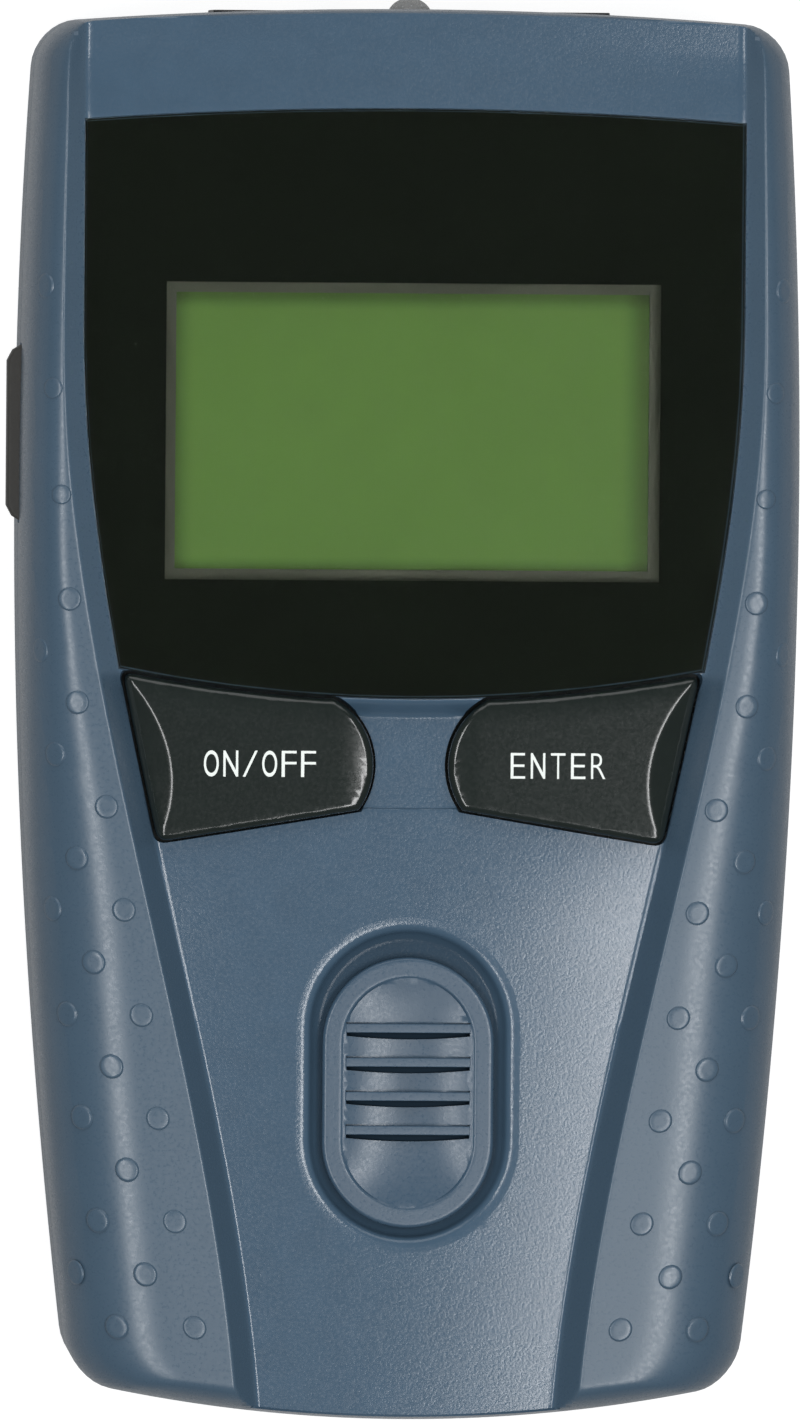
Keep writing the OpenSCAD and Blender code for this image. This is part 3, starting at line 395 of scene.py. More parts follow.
def hollow(bm, cap_angle, skin, to_uv, seam, inner_cap):
    """From an outer cap to a closed shell: walls down to the seam, then the same sheet again,
    a wall's thickness inside, joined at the seam."""
    place = {v: (*to_uv(v.co.x, v.co.y, cap_angle, 0), None) for v in bm.verts}
    loop = [e for e in bm.edges if e.is_boundary]
    steps = [cap_angle * k / 7 for k in range(6, -1, -1)] + seam
    for step in steps:
        loop, pairs = next_ring(bm, loop)
        for old, new in pairs:
            u, v = place[old][:2]
            place[new] = (u, v, step)
            if isinstance(step, tuple):
                x, y, _ = skin(u, v, 0, step[1])
                new.co = (x, y, step[0])
            else:
                new.co = skin(u, v, step, 0)
    bm.verts.index_update()
    spots = [place[v] for v in bm.verts]
    inner = bm.copy()
    for spot, v in zip(spots, inner.verts):
        u, w, step = spot
        if step is None:
            x, y, _ = skin(u, w, cap_angle, wall)
            v.co = (x, y, inner_cap(x, y))
        elif isinstance(step, tuple):
            x, y, _ = skin(u, w, 0, wall)
            v.co = (x, y, step[0])
        else:
            v.co = skin(u, w, step, wall)
    bmesh.ops.reverse_faces(inner, faces=inner.faces)
    scratch = bpy.data.meshes.new("scratch")
    inner.to_mesh(scratch)
    bm.from_mesh(scratch)
    inner.free()
    bpy.data.meshes.remove(scratch)
    bmesh.ops.bridge_loops(bm, edges=[e for e in bm.edges if e.is_boundary])
    bmesh.ops.recalc_face_normals(bm, faces=bm.faces)


def loft(rings):
    """Closed solid through rings of equal length."""
    bm = bmesh.new()
    bm.faces.new([bm.verts.new(p) for p in rings[0]])
    bm.verts.index_update()
    order = {v: v.index for v in bm.verts}
    loop = bm.edges[:]
    for ring in rings[1:]:
        loop, pairs = next_ring(bm, loop)
        for old, new in pairs:
            order[new] = order[old]
            new.co = ring[order[old]]
    bmesh.ops.contextual_create(bm, geom=loop)
    bmesh.ops.recalc_face_normals(bm, faces=bm.faces)
    return bm


def prism(outline, z0, z1):
    return loft([[(x, y, z) for x, y in outline] for z in (z0, z1)])


def block(x, y, z):
    bm = bmesh.new()
    bmesh.ops.create_cube(bm, size=1)
    bmesh.ops.scale(bm, vec=(x[1] - x[0], y[1] - y[0], z[1] - z[0]), verts=bm.verts)
    bmesh.ops.translate(bm, vec=((x[0] + x[1]) / 2, (y[0] + y[1]) / 2, (z[0] + z[1]) / 2),
                        verts=bm.verts)
    return bm


def rod(r1, r2, start, length, axis="Z", segments=32):
    """Round bar or cone from start, along an axis."""
    bm = bmesh.new()
    bmesh.ops.create_cone(bm, cap_ends=True, segments=segments, radius1=r1, radius2=r2,
                          depth=length)
    bmesh.ops.translate(bm, vec=(0, 0, length / 2), verts=bm.verts)
    if axis == "Y":
        bmesh.ops.rotate(bm, matrix=Matrix.Rotation(-math.pi / 2, 3, "X"), verts=bm.verts)
    bmesh.ops.translate(bm, vec=start, verts=bm.verts)
    return bm


def joined(parts):
    """Several meshes in one; they are used up."""
    bm = bmesh.new()
    scratch = bpy.data.meshes.new("scratch")
    for part in parts:
        part.to_mesh(scratch)
        bm.from_mesh(scratch)
        part.free()
    bpy.data.meshes.remove(scratch)
    return bm


def mirrored(bm):
    """A mesh and its twin on the other side of the middle."""
    twin = bm.copy()
    bmesh.ops.scale(twin, vec=(-1, 1, 1), verts=twin.verts)
    bmesh.ops.reverse_faces(twin, faces=twin.faces)
    return joined([bm, twin])


def carve(bm, tools, operation="DIFFERENCE", crossing=False):
    """The mesh less the tools, or with them, by an exact boolean. crossing: the tools overlap."""
    work, tool = placed(bm, "work", None, None), placed(joined(tools), "tool", None, None)
    cutting = work.modifiers.new("cut", "BOOLEAN")
    cutting.solver = "EXACT"
    cutting.operation = operation
    cutting.object = tool
    cutting.use_self = crossing
    result = bpy.data.meshes.new_from_object(
        work.evaluated_get(bpy.context.evaluated_depsgraph_get()))
    bm = bmesh.new()
    bm.from_mesh(result)
    bpy.data.meshes.remove(result)
    for made in (work, tool):
        mesh = made.data
        bpy.data.objects.remove(made)
        bpy.data.meshes.remove(mesh)
    return bm


crumb, weld = 0.35, 1e-4


def sweep(bm):
    """Deletes the crumbs that cutting leaves."""
    seen, crumbs = set(), []
    for first in bm.faces:
        if first in seen:
            continue
        island = [first]
        seen.add(first)
        for face in island:
            for other in (f for e in face.edges for f in e.link_faces):
                if other not in seen:
                    seen.add(other)
                    island.append(other)
        points = [v.co for face in island for v in face.verts]
        if all(max(p[i] for p in points) - min(p[i] for p in points) < crumb for i in range(3)):
            crumbs += island
    bmesh.ops.delete(bm, geom=crumbs, context="FACES")


def piece(bm, name, body, slot, *materials, sharp=32):
    """Turns a mesh in millimetres into a piece of the tester in metres."""
    bmesh.ops.remove_doubles(bm, verts=bm.verts, dist=weld)
    sweep(bm)
    bmesh.ops.scale(bm, vec=(mm, mm, mm), verts=bm.verts)
    for face in bm.faces:
        face.smooth = True
    for edge in bm.edges:
        edge.smooth = len(edge.link_faces) == 2 and edge.calc_face_angle(0) < math.radians(sharp)
    made = placed(bm, name, *materials)
    weights = made.modifiers.new("face_weights", "WEIGHTED_NORMAL")
    weights.keep_sharp = True
    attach(made, body)
    return made


lens_tail, lens_port, lens_port_r = 1.85, 61.8, 440


def lens_outline(grow):
    tail_x, port_x = slope_foot(4.85), slope_foot(lens_port)
    tail_y = lens_tail + bow(tail_x, lens_tail_r) - grow
    port_y = lens_port - bow(port_x, lens_port_r) + grow
    right = [(slope_foot(y) + grow, y) for y in (mix(tail_y, port_y, k / 40) for k in range(41))]
    top = [(x, lens_port + grow - bow(x, lens_port_r))
           for x in (mix(port_x, -port_x, k / 30) for k in range(1, 30))]
    low = [(x, lens_tail - grow + bow(x, lens_tail_r))
           for x in (mix(-tail_x, tail_x, k / 40) for k in range(1, 40))]
    return right + top + [(-x, y) for x, y in right[::-1]] + low


key_gap, key_corner = 0.3, 1.2
key_top_y, key_low_y, key_low_slope = 1.5, -8.5, 0.173
nose_x, nose_y, nose_r = 11.5, -5.05, 7.7


def key_outline(grow):
    """Right-hand key: rounded nose to the middle, outer edge along the slope's foot."""
    def top(x):
        return key_top_y + grow + bow(x, lens_tail_r)

    def low(x):
        return key_low_y - key_low_slope * x - grow

    def outer(y):
        return slope_foot(y) - key_gap + grow

    out_top = outer(top(slope_foot(0)) - grow)
    out_low = outer(low(slope_foot(-10)) + grow)
    r = nose_r + grow
    start_x, end_x = out_low - key_corner, out_top - key_corner
    side_low = (outer(low(out_low) + key_corner), low(out_low) + key_corner)
    side_top = (outer(top(out_top) - key_corner), top(out_top) - key_corner)

    def turn(a, tip, b, n):
        return [tuple(mix(mix(a[i], tip[i], t), mix(tip[i], b[i], t), t) for i in (0, 1))
                for t in (k / n for k in range(1, n))]

    nose = [(nose_x + r * math.cos(t), nose_y + r * math.sin(t))
            for t in (math.radians(mix(118, 216, k / 26)) for k in range(27))]
    points = [(start_x, low(start_x))]
    points += turn(points[-1], (out_low, low(out_low)), side_low, 6)
    points += [(outer(y), y) for y in (mix(side_low[1], side_top[1], k / 12) for k in range(13))]
    points += turn(side_top, (out_top, top(out_top)), (end_x, top(end_x)), 6)
    points += [(x, top(x)) for x in (mix(end_x, nose[0][0], k / 16) for k in range(16))]
    points += nose
    points += [(mix(nose[-1][0], start_x, k / 14), mix(nose[-1][1], low(start_x), k / 14))
               for k in range(1, 14)]
    return points


slider_y = -38.4


def pill(w, l, y=0, turns=24, straights=10):
    """Outline with half-round ends, standing along Y."""
    r = w / 2
    s = l / 2 - r
    side = [(r, mix(-s, s, k / straights)) for k in range(straights)]
    cap = [(r * math.cos(t), s + r * math.sin(t))
           for t in (math.pi * k / turns for k in range(turns))]
    half = side + cap
    return [(px, py + y) for px, py in half] + [(-px, y - py) for px, py in half]


cap_angle = math.radians(45)


def cap_edge(skin):
    """Right half of the outline that a cover's cap has where its rounded walls begin."""
    edge = [skin(u, v, cap_angle, 0)[:2] for u, v in unit_half(14, 8, 64)]
    return [(0, edge[0][1])] + edge[1:-1] + [(0, edge[-1][1])]


columns = [2.5, 5, 7.5, 9.5, 11, 12.5, 14, 15.5, 17, 18.2, 19, 19.5, 19.75, 20, 20.25, 20.6, 21,
           21.5, 21.8, 21.9, 22, 22.1, 22.25, 22.5, 22.8, 23.2, 23.7, 24.3]
columns += [25 + 0.9 * k for k in range(20)]
rows = [-70.9, -70.6, -70.2, -69.8, -69.4, -69, -68.4, -67.6, -66.5, -65]
rows += [-62.5 + 2.5 * k for k in range(22)]
rows += [-9.6, -9.5, -9.42, -9.35, -9.2, -7.5, -5, -3, -1.2, -0.5, -0.3, -0.05, 0.2, 0.45, 0.75,
         1.05, 1.3, 1.55, 1.8, 2.1, 3]
rows += [5 + 2.5 * k for k in range(26)]
rows += [69, 69.8, 70.4, 70.8, 71, 71.15, 71.3, 71.45, 71.57]
bm = cut_sheet([to_grid(x, y) for x, y in cap_edge(front_skin)], columns, rows)
edge_z = shoulder_z + (crest_z - shoulder_z) * rounding(cap_angle)[1]
for v in bm.verts:
    col, row = v.co.x, v.co.y
    x, y = to_plan(col, row)
    on_edge = v.is_boundary and x > 0.01
    z = (min(edge_z, sunk_height(x, y)) if on_edge
         else soft_min(front_height(x, y), sunk_height(x, y), 0.25))
    v.co = (x, y, z)
    if col > 20.05:
        for face in v.link_faces:
            face.material_index = 1
both_halves(bm)


def front_inner(x, y):
    t = smooth((abs(x) - slope_foot(y) - 2.6) / 0.8)
    return min(front_height(x, y, wall), mix(shelf_z, crest_z - wall, t))


hollow(bm, cap_angle, front_skin, front_uv,
       [(21.5, 0), (17.75, 0), (17.5, 0.22)], front_inner)


def paint(red, green, blue):
    """An sRGB colour as the shaders take it."""
    return tuple(c / 12.92 if c <= 0.04045 else ((c + 0.055) / 1.055) ** 2.4
                 for c in (red / 255, green / 255, blue / 255)) + (1,)


def finish_of(name, colour, roughness, grain=0.3, depth=0.01, mottle=0.06, spot=2, metallic=0,
              vary=0.06, detail=3):
    """Moulded or metal surface: fine relief of that grain and depth in millimetres, and slow
    changes of colour and gloss."""
    mat = bpy.data.materials.new(name)
    mat.use_nodes = True
    tree = mat.node_tree
    tune(tree.nodes["Principled BSDF"], Metallic=metallic)
    place, tone = add(tree, "TexCoord"), add(tree, "Mix")
    fine = add(tree, "TexNoise", Scale=1 / (grain * mm), Detail=detail, Roughness=0.6)
    slow = add(tree, "TexNoise", Scale=1 / (spot * mm), Detail=2)
    relief = add(tree, "Bump", Distance=depth * mm, Strength=1)
    tone.data_type = "RGBA"
    base = paint(*colour)[:3]
    tone.inputs[6].default_value = tuple(c * (1 - mottle) for c in base) + (1,)
    tone.inputs[7].default_value = tuple(min(1, c * (1 + mottle)) for c in base) + (1,)
    gloss = add(tree, "MapRange", From_Min=0.3, From_Max=0.7, To_Min=roughness - vary,
                To_Max=roughness + vary)
    wire(tree, (place, "Object", fine, "Vector"), (place, "Object", slow, "Vector"),
         (fine, "Fac", relief, "Height"), (slow, "Fac", tone, 0), (fine, "Fac", gloss, "Value"),
         (tone, 2, "Principled BSDF", "Base Color"), (gloss, 0, "Principled BSDF", "Roughness"),
         (relief, 0, "Principled BSDF", "Normal"))
    return mat


grained_case = finish_of("grained_case", (64, 86, 105), 0.2, depth=0.017, mottle=0.08, spot=3,
                         vary=0.05)


def paint_shade_below(mat, low, high, least, middle=None):
    """Paints shade onto a finish between two heights in millimetres: colour and gloss turn darker
    towards the lower height, where shade falls in a deep gap; middle keeps that to a round the
    slider's size."""
    tree = mat.node_tree
    at = add(tree, "SeparateXYZ")
    amount = fade = add(tree, "MapRange", From_Min=low * mm, From_Max=high * mm, To_Min=least)
    if middle:
        place = add(tree, "Mapping", Location=(0, middle * mm, 0), Scale=(0.013, 0.0185, 1000))
        place.vector_type = "TEXTURE"
        far = add(tree, "VectorMath", "LENGTH")
        beyond = add(tree, "MapRange", From_Min=0.95)
        amount = add(tree, "Math", "MAXIMUM")
        wire(tree, ("Texture Coordinate", "Object", place, 0), (place, 0, far, 0),
             (far, "Value", beyond, "Value"), (beyond, 0, amount, 0), (fade, 0, amount, 1))
    scaled = add(tree, "VectorMath", "SCALE")
    cubed, halved = add(tree, "Math", "POWER"), add(tree, "Math", "MULTIPLY")
    cubed.inputs[1].default_value, halved.inputs[1].default_value = 3, 0.5
    wire(tree, ("Texture Coordinate", "Object", at, 0), (at, "Z", fade, "Value"),
         ("Mix", 2, scaled, 0), (amount, 0, scaled, "Scale"), (amount, 0, cubed, 0),
         (cubed, 0, halved, 0), (halved, 0, "Principled BSDF", "Specular IOR Level"),
         (scaled, 0, "Principled BSDF", "Base Color"))


# Painted shade: in the moat round the slider, below the face, the grained finish turns darker in
# colour and gloss.
paint_shade_below(grained_case, 29.9, 30.8, 0.6, middle=-38)
satin_case = finish_of("satin_case", (66, 86, 103), 0.3, grain=0.4, depth=0.006, mottle=0.05,
                       spot=5)

slider_w, slider_l = 17.5, 27.6
jack_x, jack_z, board_z, lamp_z, lamp_hole_r = 12.3, 8.5, 21.8, 17.5, 2.7
opening_half, opening_from, opening_to = 8.2, 66, 78
side_key_y, post_top = 28.4, 30.2
# Screw posts: place, foot, radius, and the radius and depth of the pilot hole.
case_screws_at = ((31.5, 64.5), (27, -60))
posts = [(x, y, 17.5, 3, 1.51, 9.5) for x, y in case_screws_at]
posts += [(x, y, 23.4, 2.4, 1.16, 6) for x, y in ((32, 51.55), (24.4, -24))]
posts += [(29.9, y, 26.2, 1.7, 0.91, 4.3) for y in (45.45, 12.45)]
bm = carve(bm, [mirrored(joined([rod(r + 0.35, r, (x, y, z), post_top - z)
                                 for x, y, z, r, _, _ in posts])),
                prism(pill(slider_w + 6.2, 37.6, slider_y + 0.4), 27.9, 31)], "UNION")
pocket = prism(lens_outline(0.12), 31.25, 40)
window = block((-26, 26), (13, 44.9), (28, 31.6))
moat_floor = [(-0.95, 29.9), (-0.6, 29.93), (-0.3, 30.03), (-0.05, 30.2), (0.1, 30.42)]
moat_lip = [(0.2, 0.68), (0.34, 0.43), (0.52, 0.25), (0.75, 0.135), (1, 0.065), (1.3, 0.025),
            (1.7, 0.003), (2.1, -0.025), (2.3, -0.05)]


def moat_ring(grow, z=None, drop=0):
    """Outline round the slider, level or a drop below the face."""
    return [(x, y, level(x, y) - drop if z is None else z)
            for x, y in pill(19.4 + 2 * grow, 30.8 + 2 * grow, slider_y + 0.8, 36)]


def port_cutters(low, high):
    """What the port end is opened with: the sockets, between two heights, and the lamp."""
    socket = block((jack_x - opening_half, jack_x + opening_half), (opening_from, opening_to),
                   (low, high))
    lamp_hole = rod(lamp_hole_r, lamp_hole_r, (0, opening_from, lamp_z), opening_to - opening_from,
                    "Y")
    return mirrored(socket), lamp_hole


moat = loft([moat_ring(g, z) for g, z in moat_floor] + [moat_ring(g, drop=d) for g, d in moat_lip]
            + [moat_ring(2.3, 36)])
ports, lamp_hole = port_cutters(0, board_z + 0.2)
side_slot = block((-45.9, -34), (side_key_y - 9.2, side_key_y + 9.2), (0, 22.8))
bm = carve(bm, [pocket, moat, ports, side_slot])
flare = [(0.25, 28), (0.25, 31.02), (0.42, 31.55), (0.42, 40)]
well = mirrored(loft([[(x, y, z) for x, y in key_outline(g)] for g, z in flare]))
slot = block((-2.7, 2.7), (slider_y - 4.7, slider_y + 6.7), (27, 30))
pilots = mirrored(joined([rod(bore, bore, (x, y, z - 1), deep, segments=16)
                          for x, y, z, _, bore, deep in posts]))
bm = carve(bm, [well, slot, lamp_hole, pilots, window])
front = piece(bm, "front_shell", "case", "case", grained_case, satin_case)
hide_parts("front_cover")

# Grip buttons: low round buttons, moulded with the front cover in staggered columns down both
# grips, so that the tester stays in a wet hand.
button_r = 1.27
button_steps = ((0.07, 0.06), (0.07, 0.1), (0.06, 0.035), (0.1, 0.015), (0.4, 0.01))
least_room, least_lean = 0.6, 0.6
first_column = ((43.6, 37.7), (33.2, 36.8), (22.4, 35.9), (11.8, 35.0), (1.3, 34.1), (-9.3, 31.1),
                (-19.8, 29.2), (-30.5, 27.3), (-41, 25.6), (-51.5, 23.8), (-62.3, 21.7))
buttons = []


def across(y):
    """The grip's section at a station, from the crest outwards: (run, x, z, lean)."""
    path = []
    for k in range(181):
        s, rise = rounding(math.radians(90 - k / 2))
        path.append((half_w(y) - round_w(y) * s, shoulder_z + (crest_z - shoulder_z) * rise))
    path += [(path[-1][0], shoulder_z - 0.1 * k) for k in range(1, 75)]
    run, out = 0, []
    for (x0, z0), (x1, z1) in zip(path, path[1:]):
        out.append((run, x0, z0, math.atan2(x1 - x0, z0 - z1)))
        run += math.hypot(x1 - x0, z1 - z0)
    return out


def button(section, run, y, size):
    """Low round button on that section, wrapped onto its curve; run is measured from the crest."""
    runs = [s[0] for s in section]
    start = section[0][1]
    for flip in (1, -1):
        disc = bmesh.new()
        bmesh.ops.create_circle(disc, cap_ends=True, segments=24, radius=button_r * size,
                                matrix=Matrix.Translation((run, 0, -0.05)))
        for thickness, rise in button_steps:
            bmesh.ops.inset_region(disc, faces=[f for f in disc.faces if len(f.verts) == 24],
                                   thickness=thickness * size, depth=rise, use_boundary=True,
                                   use_even_offset=True)
        bmesh.ops.holes_fill(disc, edges=[e for e in disc.edges if e.is_boundary])
        bmesh.ops.recalc_face_normals(disc, faces=disc.faces)
        for v in disc.verts:
            at, dy, height = v.co
            if at < 0:
                x, z, lean = start + at, crest_z, math.pi / 2
            else:
                k = min(len(section) - 2, bisect_right(runs, at) - 1)
                t = (at - runs[k]) / (runs[k + 1] - runs[k])
                x, z, lean = (mix(section[k][i], section[k + 1][i], t) for i in (1, 2, 3))
            if height > 0:
                height *= mix(0.45, 1, smooth((math.degrees(lean) - 20) / 50))
            v.co = (flip * (x + half_w(y + dy) - half_w(y) + height * math.cos(lean)), y + dy,
                    z + height * math.sin(lean))
        if flip < 0:
            bmesh.ops.reverse_faces(disc, faces=disc.faces)
        buttons.append(disc)


for k, (y, x) in enumerate(first_column):
    stations = [(y, x, (0, 8, 16))]
    if k < len(first_column) - 1:
        y2, x2 = first_column[k + 1]
        stations.append(((y + y2) / 2, (x + x2) / 2, (4, 12)))
    for y, x, steps in stations:
        section = across(y)
        flat = half_w(y) - round_w(y)
        start = min(section, key=lambda s: abs(s[1] - x))[0] if x > flat else x - flat
        steep = next((run for run, _, _, lean in section if lean < least_lean), 99)
        for step in steps:
            room = x + step - ridge_x(y) - 0.1
            if (step == 0 or start + step < steep) and room > least_room:
                button(section, start + step, y, min(1, room / button_r))
piece(joined(buttons), "grip_buttons", "case", "case", satin_case)

# Rear cover: the back half of the case, moulded in the same ABS, with the battery's bay, a bare
# recess for a label, and deep holes for the four case screws.


back_r = 6


def back_skin(u, v, a, inset):
    s = 1 - math.cos(a)
    y0 = v * case_end
    x = u * (half_w(y0) - inset - (back_r - inset) * s)
    fall = end_bow(x, v > 0) + inset + 4 * s
    return x, y0 - v * fall, back_r - (back_r - inset) * math.sin(a)


def back_uv(x, y, a, inset):
    s = 1 - math.cos(a)
    v = y / (case_end - end_bow(x, y > 0) - inset - 4 * s)
    return x / (half_w(v * case_end) - inset - (back_r - inset) * s), v


def back_height(x, y, inset=0):
    return back_r - (back_r - inset) * math.sin(skin_height(x, y, inset, back_uv, math.pi / 2))


columns = [6, 14, 20, 24, 26] + [27.5 + 0.7 * k for k in range(16)]
rows = [-70.5 + 0.5 * k for k in range(9)] + [-60 + 6 * k for k in range(21)]
rows += [64, 66] + [67 + 0.5 * k for k in range(8)]
bm = cut_sheet(cap_edge(back_skin), columns, rows)
for v in bm.verts:
    x, y = v.co.x, v.co.y
    on_edge = v.is_boundary and x > 0.01
    v.co.z = back_r - back_r * math.sin(cap_angle) if on_edge else back_height(x, y)
both_halves(bm)
hollow(bm, cap_angle, back_skin, back_uv, [(12, 0), (17.25, 0), (17.5, 0.22)],
       lambda x, y: max(wall, back_height(x, y, wall)))
bay_tail, bay_port, bay_roof, bay_half = -67.27, -12.87, 20, 18.8
bay_wall = 1.2
bay = block((-bay_half - bay_wall, bay_half + bay_wall), (bay_tail - bay_wall, bay_port + bay_wall),
            (1, bay_roof + 1))


def at_case_screws(r1, r2, z, length, segments=40):
    return [rod(r1, r2, (x, y, z), length, segments=segments) for x, y in case_screws_at]


rear_posts = at_case_screws(4.2, 3.6, 1, 2) + at_case_screws(3.6, 3.6, 2, 15.5)
rear_posts += [rod(2.6, 1.8, (x, y, 1), 20.6) for x, y in ((26, 6), (23, 46))]
bm = carve(bm, [bay, mirrored(joined(rear_posts))], "UNION", crossing=True)
inside = block((-bay_half, bay_half), (bay_tail, bay_port), (-1, bay_roof))
doorway = block((-17.2, 17.2), (-90, bay_port + bay_wall), (-2, 3.4))
rails = block((-bay_half, bay_half), (-91, bay_port - 0.01), (2, 3.4))
lead_hole = block((-6, 6), (bay_port - 1, bay_port + 2.2), (13.8, 16.8))
label_recess = loft([[(sx * (22 + g), sy, z) for sx, sy in ((-1, 14 - g), (1, 14 - g), (1, 44 + g),
                                                           (-1, 44 + g))]
                     for g, z in ((0.3, -1), (0.3, -0.05), (0, 0.3))])
bm = carve(bm, [inside])
bm = carve(bm, [doorway, lead_hole, *port_cutters(jack_z - 0.2, 35),
                mirrored(joined(at_case_screws(2.9, 2.9, -1, 9))), label_recess])
bm = carve(bm, [rails, mirrored(joined(at_case_screws(1.65, 1.65, 7, 12, 24)))])
rear = piece(bm, "rear_shell", "case", "case", satin_case)
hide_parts("rear_cover")

# Battery door: a sliding plate in the back with thumb grooves, its turned-up end closing the tail
# wall. Two L-shaped rails hold it behind the edges of the doorway.
door_port, door_half = -11.87, 17


plate_z, plate_low, rail_end = 3.2, 1.8, -13.67


def door_edge(x, k):
    a = math.radians(90 - 6 * k)
    return bow(x, tail_end_r) - case_end + 4 * (1 - math.cos(a)), back_r * (1 - math.sin(a))


rings = []
for k in range(17):
    x = mix(door_half, -door_half, k / 16)
    rise = 0.2 if k in (0, 16) else 0
    ring = [(x, door_port, rise + 0.2), (x, door_port - 0.2, rise)]
    for n in range(11):
        y, z = door_edge(x, n)
        ring.append((x, y, z + rise * (1 - n / 11)))
    ring += [(x, y, plate_z), (x, bay_tail - 0.8, plate_z), (x, bay_tail - 0.8, plate_low),
             (x, door_port, plate_low)]
    rings.append(ring)
bm = loft(rings)
rail = [block((15, right), (bay_tail - 0.8, rail_end), (low, plate_z))
        for right, low in ((16.4, 1.6), (18.4, 2.2))]
bm = carve(bm, [mirrored(joined(rail))], "UNION", crossing=True)
grooves = []
for k in range(8):
    groove = rod(0.62, 0.62, (0, 0, 0), 14, segments=20)
    bmesh.ops.rotate(groove, matrix=Matrix.Rotation(math.pi / 2, 3, "Y"), verts=groove.verts)
    bmesh.ops.translate(groove, vec=(-7, -18.67 - 2 * k, -0.22), verts=groove.verts)
    grooves.append(groove)
bm = carve(bm, grooves)
door = piece(bm, "battery_door_plate", "battery_door", "case", satin_case)
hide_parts("battery_door")

# Lens: flat acrylic sheet let into the cover, clear with a black print on its underside round the
# display's window. Its edges are lightly broken.
lens_finish = bpy.data.materials.new("clear_acrylic")
lens_finish.use_nodes = True
tree = lens_finish.node_tree
tune(tree.nodes["Principled BSDF"], Base_Color=(0.93, 0.95, 0.93, 1), Transmission_Weight=1,
     IOR=1.3)
haze = add(tree, "TexNoise", Scale=160)
clear = add(tree, "MapRange", To_Min=0, To_Max=0.05)
wire(tree, (add(tree, "TexCoord"), "Object", haze, "Vector"), (haze, "Fac", clear, "Value"),
     (clear, 0, "Principled BSDF", "Roughness"))
rings = [(-0.1, 31.44), (0, 31.54), (0, 32.68), (-0.12, 32.8)]
lens = piece(loft([[(x, y, z) for x, y in lens_outline(g)] for g, z in rings]), "lens_sheet",
             "case", "lens", lens_finish, sharp=20)
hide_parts("display_lens")


def dress(finish, *names):
    """Gives frame solids their finish."""
    for name in names:
        nodes[name].data.materials.clear()
        nodes[name].data.materials.append(finish)


def lay_over(mat, source, output, colour):
    """Lays a second colour over a finish, as strong as that node's output."""
    mixed = add(mat.node_tree, "Mix")
    mixed.data_type = "RGBA"
    mixed.inputs[7].default_value = paint(*colour)
    wire(mat.node_tree, (source, output, mixed, 0), ("Mix", 2, mixed, 6),
         (mixed, 2, "Principled BSDF", "Base Color"))


black_print = finish_of("black_print", (22, 27, 20), 0.5, grain=0.2, depth=0.002, mottle=0.1,
                        spot=6)
tree = black_print.node_tree
dust = add(tree, "TexVoronoi", Scale=260)
speck = add(tree, "MapRange", From_Min=0.035, From_Max=0.02)
pick = add(tree, "TexNoise", Scale=150)
keep = add(tree, "MapRange", From_Min=0.62, From_Max=0.66)
few = add(tree, "Math", "MULTIPLY")
wire(tree, ("Texture Coordinate", "Object", dust, "Vector"), (dust, "Distance", speck, "Value"),
     ("Texture Coordinate", "Object", pick, "Vector"), (pick, "Fac", keep, "Value"),
     (speck, 0, few, 0), (keep, 0, few, 1))
lay_over(black_print, few, 0, (120, 128, 118))
tune(tree.nodes["Principled BSDF"], Specular_IOR_Level=0)
dress(black_print, "lens_mask")

# Display: a dark steel bezel over a yellow-green glass that glows faintly, as lit from below, with
# painted shade along its edges where the bezel's depth would shade it.
display_green = finish_of("display_green", (97, 134, 60), 0.22, grain=0.18, depth=0.001,
                          mottle=0.035, spot=6)
tree = display_green.node_tree
tune(tree.nodes["Principled BSDF"], Emission_Strength=0.05)
from_middle = add(tree, "VectorMath", "SUBTRACT")
from_middle.inputs[1].default_value = Vector((-0.5, 28.75, 29)) * mm
either_side = add(tree, "VectorMath", "ABSOLUTE")
split = add(tree, "SeparateXYZ")
shade = add(tree, "Math", "MULTIPLY")
dim = add(tree, "VectorMath", "SCALE")
# Painted shade: the glass's colour and its faint glow fall to 0.55 towards its edges.
for k, (axis, inner, outer) in enumerate((("X", 21.6, 24.3), ("Y", 12.4, 14.2))):
    fall = add(tree, "MapRange", From_Min=inner * mm, From_Max=outer * mm, To_Min=1, To_Max=0.55)
    fall.interpolation_type = "SMOOTHSTEP"
    wire(tree, (split, axis, fall, "Value"), (fall, 0, shade, k))
wire(tree, ("Texture Coordinate", "Object", from_middle, 0), (from_middle, 0, either_side, 0),
     (either_side, 0, split, 0), ("Mix", 2, dim, 0), (shade, 0, dim, "Scale"),
     (dim, 0, "Principled BSDF", "Base Color"), (dim, 0, "Principled BSDF", "Emission Color"))
dress(finish_of("bezel_steel", (66, 70, 55), 0.45, grain=0.4, depth=0.004, mottle=0.08, spot=5,
                metallic=0.3), "lcd_bezel")
dress(display_green, "lcd_glass")

# Keys: two charcoal keys moulded in one hard plastic, each with a rounded nose, an outer facet that
# falls away from a curved crease, a flange that keeps it in its well and a stem onto its dome.
key_plastic = finish_of("charcoal_plastic", (27, 34, 32), 0.17, grain=0.35, depth=0.004,
                        mottle=0.12, vary=0.03)
legend_white = finish_of("legend_white", (226, 232, 228), 0.55, grain=0.1, depth=0.002,
                         mottle=0.03)
key_top_z, rim_r = 32.8, 0.75


def crease(y):
    return 24.3 + 0.0388 * (y + 7) ** 2


def key_height(x, y):
    """The key's top face, with no rounding at its rim."""
    facet = soft_max(0, 0.33 * (x - crease(y)), 0.1)
    to_lens = max(0, 2.2 - (key_top_y + bow(x, lens_tail_r) - y)) / 2.2
    to_nose = max(0, 1 - (x - 3.8) / 3.5)
    return key_top_z - facet - 0.22 * to_lens ** 2 - 0.25 * to_nose ** 2


